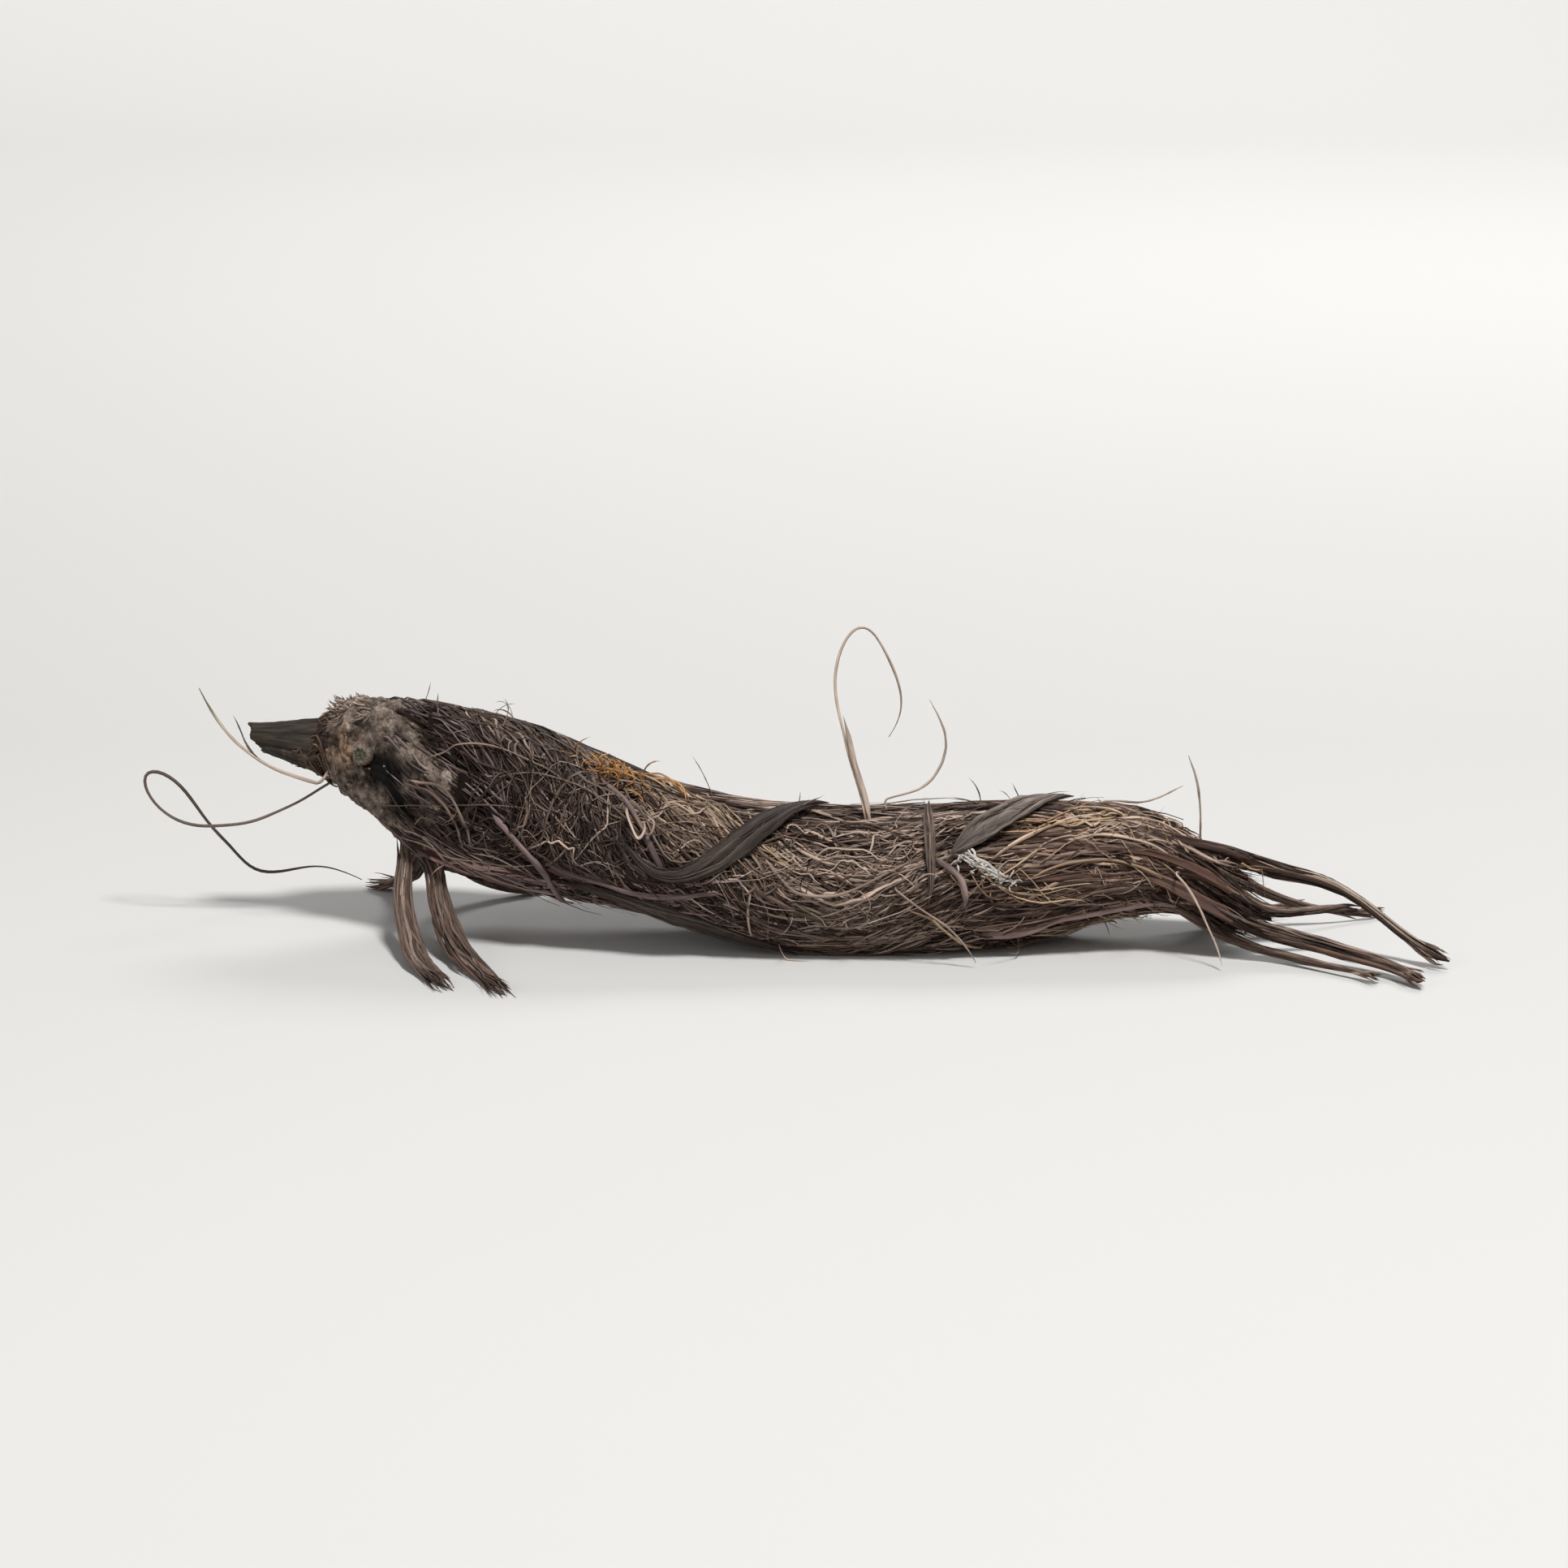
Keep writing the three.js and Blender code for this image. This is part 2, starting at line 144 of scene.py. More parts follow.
def off_floor(points, radius=0.0):
    """Lifts points until a root of that radius clears the floor."""
    points[..., 2] = np.maximum(points[..., 2], radius + FLOOR_GAP)


# ---- the hank's skin, measured on the CAD solids ----


def shape_of(names):
    """The vertices, in mm, and the triangles of CAD nodes, joined."""
    points, faces, base = [], [], 0
    for name in names:
        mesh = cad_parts[name].data
        places = np.empty(len(mesh.vertices) * 3)
        mesh.vertices.foreach_get("co", places)
        mesh.calc_loop_triangles()
        corners = np.empty(len(mesh.loop_triangles) * 3, int)
        mesh.loop_triangles.foreach_get("vertices", corners)
        points.append(places.reshape(-1, 3) / MM)
        faces.append(corners.reshape(-1, 3) + base)
        base += len(mesh.vertices)
    return np.concatenate(points), np.concatenate(faces)


def nodes_named(start):
    return [name for name in sorted(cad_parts) if name.startswith(start)]


class Skin:
    """A long body's middle line, and its radius at every station and turn, found with rays from outside."""

    STEP = 0.8  # mm between stations
    TURNS = 96
    REACH = 30.0  # mm, from the middle line out to where the rays start
    SLICE = 2.5  # mm each side of a station, for a first guess at its middle
    END_HEIGHT = 2.5  # mm, the least height of the middle line where it runs out

    def __init__(self, names, start, end, runout=0.0):
        points, faces = shape_of(names)
        tree = BVHTree.FromPolygons(points.tolist(), faces.tolist())
        self.stations = np.arange(start, end, self.STEP)
        self.turns = circle(self.TURNS)
        self.middle = np.array([self.first_middle(points, station) for station in self.stations])
        for _ in range(3):
            self.radii = np.array([self.ring(tree, i) for i in range(len(self.stations))])
            edge = self.middle[:, None] + self.radii[..., None] * self.outwards(self.turns)[None, :, 1:]
            self.middle = self.blur((edge.max(1) + edge.min(1)) / 2, 3)
        self.radii = self.blur(self.radii, 1)
        if runout:
            self.run_out(runout)

    def first_middle(self, points, station):
        near = points[np.abs(points[:, 0] - CROWN_X - station) < self.SLICE]
        return (near[:, 1:].max(0) + near[:, 1:].min(0)) / 2

    def ring(self, tree, i):
        """The radius at every turn, without the thin gaps between solids."""
        found = []
        for out in self.outwards(self.turns):
            start = np.array([CROWN_X + self.stations[i], *self.middle[i]]) + out * self.REACH
            distance = tree.ray_cast(Vector(start), Vector(-out))[3]
            found.append(self.REACH - distance if distance is not None else 0.0)
        return np.maximum.reduce([np.roll(found, shift) for shift in (-1, 0, 1)])

    @staticmethod
    def blur(values, passes):
        for _ in range(passes):
            padded = np.concatenate([values[:1], values, values[-1:]])
            values = (padded[:-2] + 2 * padded[1:-1] + padded[2:]) / 4
        return values

    def run_out(self, length):
        """Carries the middle line on past the end, still clear of the floor, while the radius shrinks."""
        extra = np.arange(1, int(length / self.STEP))
        slope = (self.middle[-8] - self.middle[-16]) / 8
        slope[1] = max(slope[1], (self.END_HEIGHT - self.middle[-1, 1]) / len(extra))
        shrink = 1 - 0.85 * smooth(extra / extra[-1])
        self.stations = np.append(self.stations, self.stations[-1] + extra * self.STEP)
        self.middle = np.concatenate([self.middle, self.middle[-1] + extra[:, None] * slope])
        self.radii = np.concatenate([self.radii, self.radii[-1] * shrink[:, None]])

    @staticmethod
    def outwards(turn):
        """The way out from the middle line at each turn."""
        return np.stack([np.zeros_like(turn), -np.cos(turn), np.sin(turn)], -1)

    def middle_at(self, station):
        return between(station, self.stations, self.middle)

    def radius(self, station, turn):
        """How far the skin is from the middle line, between the rays that were cast."""
        row = np.clip((station - self.stations[0]) / self.STEP, 0, len(self.stations) - 1.001)
        column = (turn / (2 * math.pi) % 1) * self.TURNS
        low_row, low_column = row.astype(int), column.astype(int) % self.TURNS
        high_column = (low_column + 1) % self.TURNS
        along, across = row - low_row, column - np.floor(column)
        near = blend(self.radii[low_row, low_column], self.radii[low_row, high_column], across)
        far = blend(self.radii[low_row + 1, low_column], self.radii[low_row + 1, high_column], across)
        return blend(near, far, along)

    def clear(self, points, margin):
        """Moves points out to at least margin off the skin, where there is one."""
        station = points[..., 0] - CROWN_X
        middle = self.middle_at(station)
        off = points[..., 1:] - middle
        distance = np.linalg.norm(off, axis=-1)
        least = self.radius(station, np.arctan2(off[..., 1], -off[..., 0])) + margin
        within = (station > self.stations[0]) & (station < self.stations[-1])
        grow = np.where(within, np.maximum(least / np.maximum(distance, 1e-6), 1), 1)
        return np.concatenate([points[..., :1], middle + off * grow[..., None]], -1)

    def at(self, station, turn, lift):
        """The point that stands lift off the skin, and the way that it faces."""
        out = self.outwards(turn)
        centre = np.concatenate([(CROWN_X + station)[..., None], self.middle_at(station)], -1)
        return centre + out * (self.radius(station, turn) + lift)[..., None], out


# ---- meshes ----


def finish_piece(piece, material, replaced=()):
    piece.data.materials.append(material)
    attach(piece, "root")
    if replaced:
        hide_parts(*replaced)


def skin_mesh(name, rings, tones, grain, length_share=1 / 16):
    """Closed tubes from rings of points: rings is (tubes, steps, sides, 3) in mm, and tones and grain are per point.

    Each tube has its own strip in the UV map, with room at its two ends for the caps.
    """
    tubes, steps, sides = rings.shape[:3]
    index = np.arange(tubes * steps * sides).reshape(tubes, steps, sides)
    around = np.roll(index, -1, axis=2)
    quads = np.stack([index[:, :-1], around[:, :-1], around[:, 1:], index[:, 1:]], -1).reshape(-1, 4)
    caps = np.concatenate([index[:, 0, ::-1], index[:, -1]])
    turned = faces_inwards(rings)
    if turned:
        quads, caps = quads[:, ::-1], caps[:, ::-1]
    mesh = bpy.data.meshes.new(name)
    mesh.vertices.add(index.size)
    mesh.vertices.foreach_set("co", (rings * MM).astype(np.float32).ravel())
    mesh.loops.add(quads.size + caps.size)
    mesh.loops.foreach_set("vertex_index", np.concatenate([quads.ravel(), caps.ravel()]))
    sizes = np.concatenate([np.full(len(quads), 4), np.full(len(caps), sides)])
    mesh.polygons.add(len(sizes))
    mesh.polygons.foreach_set("loop_start", np.concatenate([[0], np.cumsum(sizes)[:-1]]))
    mesh.polygons.foreach_set("use_smooth", np.ones(len(sizes), bool))
    mesh.update(calc_edges=True)
    mesh.validate()
    colour = mesh.attributes.new("tone", "FLOAT_COLOR", "POINT")
    rgba = np.concatenate([tones.reshape(-1, 3), np.ones((index.size, 1))], 1)
    colour.data.foreach_set("color", rgba.astype(np.float32).ravel())
    fibre = mesh.attributes.new("grain", "FLOAT_VECTOR", "POINT")
    fibre.data.foreach_set("vector", grain.astype(np.float32).ravel())
    layer = mesh.uv_layers.new(name="OFBake")
    places = strip_places(tubes, steps, sides, length_share, turned)
    layer.uv.foreach_set("vector", places.astype(np.float32).ravel())
    piece = bpy.data.objects.new(name, mesh)
    bpy.context.scene.collection.objects.link(piece)
    return piece


def faces_inwards(rings):
    """Whether tubes whose faces run first round each ring and then along would face inwards."""
    spokes = rings - rings.mean(2, keepdims=True)
    across = np.roll(rings, -1, axis=2) - rings
    along = np.diff(rings, axis=1)
    return float((np.cross(across[:, :-1], along) * spokes[:, :-1]).sum()) < 0


def strip_places(tubes, steps, sides, length_share, turned):
    """Where each face corner of skin_mesh lies in the UV map, in the order of its loops."""
    margin = 0.06  # at each end of a strip, for the caps
    columns = max(1, round(math.sqrt(tubes * length_share)))
    rows = math.ceil(tubes / columns)
    index = np.arange(tubes)
    corner = np.stack([(index % columns) / columns, (index // columns) / rows], -1)
    along = margin + (1 - 2 * margin) * np.linspace(0, 1, steps)
    across = 0.04 + 0.92 * np.linspace(0, 1, sides + 1)
    quad = [
        np.stack(np.meshgrid(along[i : steps - 1 + i], across[j : sides + j], indexing="ij"), -1)
        for i, j in ((0, 0), (0, 1), (1, 1), (1, 0))
    ]
    angle = circle(sides)
    round_cap = np.stack([np.cos(angle) * margin * 0.35, np.sin(angle) * 0.4], -1)
    caps = round_cap[::-1] + [margin * 0.45, 0.5], round_cap + [1 - margin * 0.45, 0.5]
    blocks = [block[..., ::-1, :] if turned else block for block in (np.stack(quad, 2), *caps)]
    parts = [corner[:, None] + block.reshape(1, -1, 2) * [1 / columns, 1 / rows] for block in blocks]
    return np.concatenate([part.reshape(-1, 2) for part in parts])


def frames(centre, facing):
    """Unit vectors across and up from each middle line, where up is the way that it faces."""
    tangent = unit(np.gradient(centre, axis=-2))
    side = unit(np.cross(tangent, facing))
    return side, unit(np.cross(side, tangent))


def drift(rows, steps, knots):
    """Smooth random values from -1 to 1 along every row. rows is how many, or a shape, and () for a single one."""
    shape = rows if isinstance(rows, tuple) else (rows,)
    held = rng.uniform(-1, 1, (*shape, knots + 3))
    place = np.linspace(0, knots - 1e-6, steps)
    low = place.astype(int)
    share = place - low
    a, b, c, d = (held[..., low + shift] for shift in range(4))
    return (
        (1 - share) ** 3 * a
        + (3 * share**3 - 6 * share**2 + 4) * b
        + (-3 * share**3 + 3 * share**2 + 3 * share + 1) * c
        + share**3 * d
    ) / 6 * 1.5


def grain_of(count, steps, sides, length):
    """A coordinate that repeats round a root and runs slowly along it, for lengthwise grain."""
    grain = np.empty((count, steps, sides, 3))
    grain[..., 0], grain[..., 1] = np.cos(circle(sides)), np.sin(circle(sides))
    run = np.linspace(0, 1, steps)[None, :, None] * np.reshape(length, (-1, 1, 1)) * 0.16
    grain[..., 2] = run + rng.uniform(0, 900, (count, 1, 1))
    return grain


def spots(points, scale):
    """Soft noise at every point, from -1 to 1."""
    found = [noise.noise(Vector(at) * scale) for at in points.reshape(-1, 3)]
    return np.reshape(found, points.shape[:-1])


def lengths(centre):
    return np.linalg.norm(np.diff(centre, axis=1), axis=2).sum(1)


def round_roots(name, centre, facing, radius, tones, sides=3, flat=0.8, length_share=1 / 16):
    """Many thin round roots at once. radius is per step, in mm, and flat is their thickness over their width."""
    count, steps = radius.shape
    side, up = frames(centre, facing)
    turn = circle(sides) + rng.uniform(0, 2 * math.pi, (count, 1, 1)) + 1.5 * drift(count, steps, 4)[..., None]
    ridged = radius[..., None] * (1 + rng.uniform(-0.16, 0.16, (count, 1, sides)))
    wide = (ridged * np.cos(turn))[..., None] * side[:, :, None]
    thick = (ridged * flat * np.sin(turn))[..., None] * up[:, :, None]
    rings = centre[:, :, None] + wide + thick
    off_floor(rings)
    tones = np.broadcast_to(tones[:, :, None], (count, steps, sides, 3))
    return skin_mesh(name, rings, tones, grain_of(count, steps, sides, lengths(centre)), length_share)


# ---- fine roots, combed over the hank ----


def follow(guides, across, along):
    """Points on a sheet of guide curves: across picks between neighbours, and along runs down them."""
    guides = np.asarray(guides, float)
    rows, points = guides.shape[:2]
    row = np.clip(across * (rows - 1), 0, rows - 1 - 1e-6)
    low = row.astype(int)
    share = (row - low)[:, None, None]
    lines = blend(guides[low], guides[low + 1], share)
    place = np.clip(along * (points - 1), 0, points - 1 - 1e-6)
    knot = place.astype(int)
    t = (place - knot)[..., None]
    padded = np.concatenate([2 * lines[:, :1] - lines[:, 1:2], lines, 2 * lines[:, -1:] - lines[:, -2:-1]], 1)
    pick = np.arange(len(lines))[:, None]
    a, b, c, d = (padded[pick, knot + shift] for shift in range(4))
    return 0.5 * (
        2 * b + (c - a) * t + (2 * a - 5 * b + 4 * c - d) * t**2 + (3 * b - 3 * c + d - a) * t**3
    )


def curve(path, steps):
    """A smooth curve through a path's points."""
    return follow([path, path], np.zeros(1), np.linspace(0, 1, steps)[None])[0]


def comb(
    hank, name, guides, count, radius, lift, colours,
    span=(0.35, 0.8), stray=0.7, wave=0.6, lean=6, free=0.1, shade=1.0, to_station=HANK_END + 9, steps=15,
):
    """Fine roots laid along guide curves, and made one piece.

    They lie in tufts that run nearly together. radius and lift are ranges in mm, and a root that lies deeper is
    darkened with painted shade, as if shaded by those over it. span is the share of the guides that a root runs
    along;
    stray is how far tufts lie off the guides and wave how far they wave, in mm; lean is how far they lean out of the
    guides' way, in degrees; free is the share of roots whose far end stands clear; and shade darkens or lightens them
    all.
    """
    # Which part of the guides each one follows.
    tufts = max(1, count // TUFT)
    tuft = rng.integers(0, tufts, count)
    span = (rng.uniform(*span, tufts)[tuft] * rng.uniform(0.6, 1.15, count)).clip(0.05, 1)
    first = ((1 - span) * rng.uniform(0, 1, tufts)[tuft] + rng.normal(0, 0.04, count)).clip(0, 1 - span)
    across = (rng.uniform(-0.01, 1.01, tufts)[tuft] + rng.normal(0, 0.015, count)).clip(0, 1)
    run = np.linspace(0, 1, steps)
    place = follow(guides, across, first[:, None] + span[:, None] * run)
    station, turn = place[..., 0], np.radians(place[..., 1])
    # How it leans, waves and strays over the skin.
    local = np.maximum(hank.radius(station, turn), 1)
    lean = np.radians(rng.normal(0, lean, tufts)[tuft] + rng.normal(0, 2.5, count))[:, None]
    length = np.hypot(np.diff(station, axis=1), np.diff(turn, axis=1) * local[:, 1:]).sum(1)
    reach = (run - 0.5) * length[:, None]
    kink = wave * (drift(tufts, steps, 4)[tuft] + 0.45 * drift(count, steps, 6) + 0.2 * drift(count, steps, 13))
    aside = rng.normal(0, stray, (tufts, 1))[tuft] + rng.normal(0, 0.3, (count, 1))
    turn = turn + (reach * np.sin(lean) + kink + aside) / local
    station = station + 0.6 * wave * drift(count, steps, 5) + rng.normal(0, stray, (count, 1))
    station = np.clip(station, 4, to_station)
    # How high it lies, from 0 for the deepest to 1, with buried ends or one that stands clear.
    depth = (0.6 * rng.uniform(0, 1, tufts)[tuft] + 0.4 * rng.uniform(0, 1, count))[:, None]
    size = rng.uniform(0, 1, count) ** 2.2 * (radius[1] - radius[0]) + radius[0]
    loose = (rng.uniform(0, 1, (count, 1)) < free) * rng.uniform(0.4, 1, (count, 1))
    bury = 0.6 * (1 - smooth(run, 0, 0.12)) + 0.4 * (1 - smooth(1 - run, 0, 0.1))
    height = lift[0] + (lift[1] - lift[0]) * depth - bury * (1 - loose) + 0.16 * drift(count, steps, 7)
    height += loose * 1.2 * smooth(run, 0.62, 1) ** 2
    centre, out = hank.at(station, turn, height)
    taper = 0.25 + 0.75 * smooth(run, 0, 0.1) * smooth(1 - run, 0, 0.3)
    thickness = size[:, None] * taper * (1 + 0.2 * drift(count, steps, 9))
    off_floor(centre, thickness)
    # Painted shade: a deeper root is darker, as if shaded by those above it, times its tuft's own tone.
    shade = shade * (0.04 + 1.6 * depth[:, 0] ** 2.5) * rng.lognormal(-0.12, 0.5, tufts)[tuft]
    return round_roots(name, centre, out, thickness, root_tones(count, steps, colours, shade, tuft, 0.65))


def laid_roots(hank, name, paths, radius, colours, material, steps=48):
    """Single roots laid over the hank, each along its own given path."""
    count = len(paths)
    place = np.stack([curve(path, steps) for path in paths])
    lift = place[..., 2] + 0.1 * drift(count, steps, 9)
    wave = 0.014 * drift(count, steps, 8)
    centre, out = hank.at(place[..., 0], np.radians(place[..., 1]) + wave, lift)
    run = np.linspace(0, 1, steps)
    taper = smooth(run, -0.02, 0.08) * smooth(1 - run, -0.02, 0.25)
    size = rng.uniform(*radius, (count, 1)) * taper * (1 + 0.22 * drift(count, steps, 12))
    off_floor(centre, size)
    tones = root_tones(count, steps, colours)
    finish_piece(round_roots(name, centre, out, size, tones, 6, 0.85, 1 / 8), material)


def curls(hank, name, start, out, count, length, bend, radius, colours, material, steps=20):
    """Curled roots. start and out are each one's place and the way that it sets off; bend is in degrees per mm."""
    start, out = np.broadcast_to(start, (count, 3)), np.broadcast_to(out, (count, 3))
    heading = unit(out + rng.normal(0, 0.55, (count, 3)))
    axis = unit(rng.normal(0, 1, (count, 3)))
    reach = rng.uniform(*length, (count, 1))
    turn = np.radians(rng.uniform(*bend, (count, 1))) * reach / steps
    points = [np.array(start)]
    for _ in range(steps - 1):
        axis = unit(axis + rng.normal(0, 0.12, (count, 3)))
        across = unit(np.cross(axis, heading))
        heading = unit(heading * np.cos(turn) + across * np.sin(turn))
        points.append(points[-1] + heading * reach / steps)
    centre = hank.clear(np.stack(points, 1), 0.12)
    taper = smooth(1 - np.linspace(0, 1, steps), -0.05, 0.4)
    size = rng.uniform(*radius, (count, 1)) * taper * (1 + 0.2 * drift(count, steps, 8))
    off_floor(centre, size)
    tones = root_tones(count, steps, colours)
    facing = np.broadcast_to(np.array([0.2, -0.9, 0.4]), centre.shape)
    finish_piece(round_roots(name, centre, facing, size, tones, 4, 0.9, 1 / 8), material)


def root_tones(count, steps, colours, brightness=1.0, tuft=None, spread=0.38):
    """One colour for each root, mixed from those given and near to its tuft's, that changes a little along it.

    A darker root is redder.
    """
    tuft = np.arange(count) if tuft is None else tuft
    weight = rng.dirichlet(np.full(len(colours), 0.7), tuft.max() + 1)[tuft]
    weight = 0.65 * weight + 0.35 * rng.dirichlet(np.full(len(colours), 0.5), count)
    shade = np.reshape(brightness, (-1, 1)) * rng.lognormal(-0.5 * spread**2, spread, (count, 1))
    tone = weight @ linear(colours) * np.minimum(shade, 1) ** REDDEN * np.maximum(shade, 1)
    tone = tone[:, None] * (1 + 0.35 * drift(count, steps, 7))[..., None]
    return tone * np.minimum(1, 0.75 / tone.max(-1, keepdims=True))


# ---- materials ----


class Nodes:
    """A material's node tree, with short calls to add nodes. An input is another node's output or a plain value."""

    def __init__(self, name):
        self.material = bpy.data.materials.new(name)
        self.material.use_nodes = True
        self.tree = self.material.node_tree

    def put(self, node, inputs):
        for name, value in inputs.items():
            socket = node.inputs[name]
            if isinstance(value, bpy.types.NodeSocket):
                self.tree.links.new(value, socket)
            else:
                socket.default_value = (*value, 1) if socket.type == "RGBA" else value

    def add(self, kind, inputs=None, **settings):
        node = self.tree.nodes.new(kind)
        for name, value in settings.items():
            setattr(node, name, value)
        self.put(node, inputs or {})
        return node

    def attribute(self, name, output):
        return self.add("ShaderNodeAttribute", attribute_name=name).outputs[output]

    def place(self):
        return self.add("ShaderNodeTexCoord").outputs["Object"]

    def axis(self, vector, axis):
        return self.add("ShaderNodeSeparateXYZ", {"Vector": vector}).outputs[axis]

    def noise(self, vector, scale, detail=3, roughness=0.55):
        inputs = {"Vector": vector, "Scale": scale, "Detail": detail, "Roughness": roughness}
        return self.add("ShaderNodeTexNoise", inputs).outputs["Fac"]

    def ramp(self, value, low, high, out_low=0.0, out_high=1.0):
        inputs = {"Value": value, "From Min": low, "From Max": high, "To Min": out_low, "To Max": out_high}
        return self.add("ShaderNodeMapRange", inputs, clamp=True).outputs["Result"]

    def scaled(self, vector, scale):
        return self.add("ShaderNodeMapping", {"Vector": vector, "Scale": scale}).outputs["Vector"]

    def mix(self, share, first, second, blend="MIX"):
        inputs = {0: share, 6: first, 7: second}
        return self.add("ShaderNodeMix", inputs, data_type="RGBA", blend_type=blend).outputs[2]

    def most(self, first, second):
        return self.add("ShaderNodeMath", {0: first, 1: second}, operation="MAXIMUM").outputs["Value"]

    def grey(self, value):
        """A number as a colour to multiply by."""
        return self.add("ShaderNodeCombineColor", dict.fromkeys(("Red", "Green", "Blue"), value)).outputs["Color"]

    def shaded(self, colour, value, low, high, darkest, lightest):
        """The colour times a number that runs from darkest to lightest as the value runs from low to high."""
        return self.mix(1.0, colour, self.grey(self.ramp(value, low, high, darkest, lightest)), "MULTIPLY")

    def bump(self, height, distance, strength=1.0, **more):
        inputs = {"Height": height, "Distance": distance, "Strength": strength, **more}
        return self.add("ShaderNodeBump", inputs).outputs["Normal"]

    def finish(self, colour, roughness, specular, **more):
        """Feeds the shader, and gives the material."""
        inputs = {"Base Color": colour, "Roughness": roughness, "Specular IOR Level": specular, **more}
        self.put(self.tree.nodes["Principled BSDF"], inputs)
        return self.material


def root_material(name, grain_scale=2.2, roughness=(0.5, 0.8), bump=0.00006, specular=0.25, least=0.5):
    """Dried root: its own tone, darker in its lengthwise wrinkles (least is how dark), with a dry shine on ridges."""
    nodes = Nodes(name)
    tone = nodes.attribute("tone", "Color")
    grain = nodes.attribute("grain", "Vector")
    fine = nodes.noise(grain, grain_scale, 4, 0.65)
    blotch = nodes.noise(nodes.scaled(grain, (0.25, 0.25, 1.1)), 1.7, 2)
    worn = nodes.shaded(tone, fine, 0.3, 0.7, least, 1.9 - least)
    colour = nodes.shaded(worn, blotch, 0.3, 0.7, 0.5 + least / 2, 1.2)
    dry = nodes.ramp(fine, 0.3, 0.7, roughness[1], roughness[0])
    return nodes.finish(colour, dry, specular, Normal=nodes.bump(fine, bump))


def bed_material():
    """What shows between the fine roots: packed, dusty root fibre, redder and lighter at the far end. Its near-black
    is painted shade for the deep gaps between the roots.
    """
    nodes = Nodes("shaded_root_bed")
    place = nodes.place()
    streaks = nodes.noise(nodes.scaled(place, (160, 1100, 1100)), 1, 5, 0.7)
    patches = nodes.noise(nodes.scaled(place, (120, 200, 200)), 1, 3)
    to_end = nodes.ramp(nodes.axis(place, "X"), 0.02, 0.05)
    # Painted shade: near-black between the roots, as the shadow deep in the gaps.
    dark = nodes.mix(to_end, linear(SHADOW_BROWN) * 0.3, linear(DARK_BROWN))
    light = nodes.mix(to_end, linear(DARK_BROWN) * 0.5, linear(RED_BROWN) * 1.3)
    colour = nodes.shaded(nodes.mix(nodes.ramp(streaks, 0.38, 0.68), dark, light), patches, 0.3, 0.7, 0.6, 1.2)
    return nodes.finish(colour, 0.9, 0.1, Normal=nodes.bump(streaks, 0.0003))


def bark_material():
    """The rhizome's bark: mottled grey-brown with scales, cracks, dust and mineral specks."""
    nodes = Nodes("rhizome_bark")
    tone = nodes.attribute("tone", "Color")
    place = nodes.place()
    scales = nodes.noise(nodes.scaled(place, (900, 650, 650)), 1, 6, 0.7)
    grit = nodes.noise(nodes.scaled(place, (3200, 3200, 3200)), 1, 3, 0.6)
    specks = nodes.noise(nodes.scaled(place, (1500, 1500, 1500)), 1, 1, 0.4)
    swirl = nodes.grey(nodes.ramp(scales, 0.3, 0.7, 0, 2.2))
    bent = nodes.mix(1.0, nodes.scaled(place, (420, 620, 620)), swirl, "ADD")
    cells = nodes.add("ShaderNodeTexVoronoi", {"Vector": bent, "Scale": 1.1}, feature="DISTANCE_TO_EDGE")
    cracks = nodes.ramp(cells.outputs["Distance"], 0.0, 0.12)
    worn = nodes.shaded(tone, scales, 0.34, 0.66, 0.4, 1.75)
    dusty = nodes.shaded(worn, grit, 0.3, 0.7, 0.65, 1.4)
    cracked = nodes.shaded(dusty, cracks, 0, 1, 0.6, 1.05)
    colour = nodes.mix(nodes.ramp(specks, 0.72, 0.78), cracked, linear(PALE) * 0.8)
    rough = nodes.bump(cracks, 0.00006, 0.6, Normal=nodes.bump(scales, 0.0005))
    normal = nodes.bump(grit, 0.00012, 0.8, Normal=rough)
    return nodes.finish(colour, nodes.ramp(scales, 0.3, 0.7, 0.9, 0.6), 0.25, Normal=normal)


# ---- thicker roots, along the middle lines of the CAD roots ----


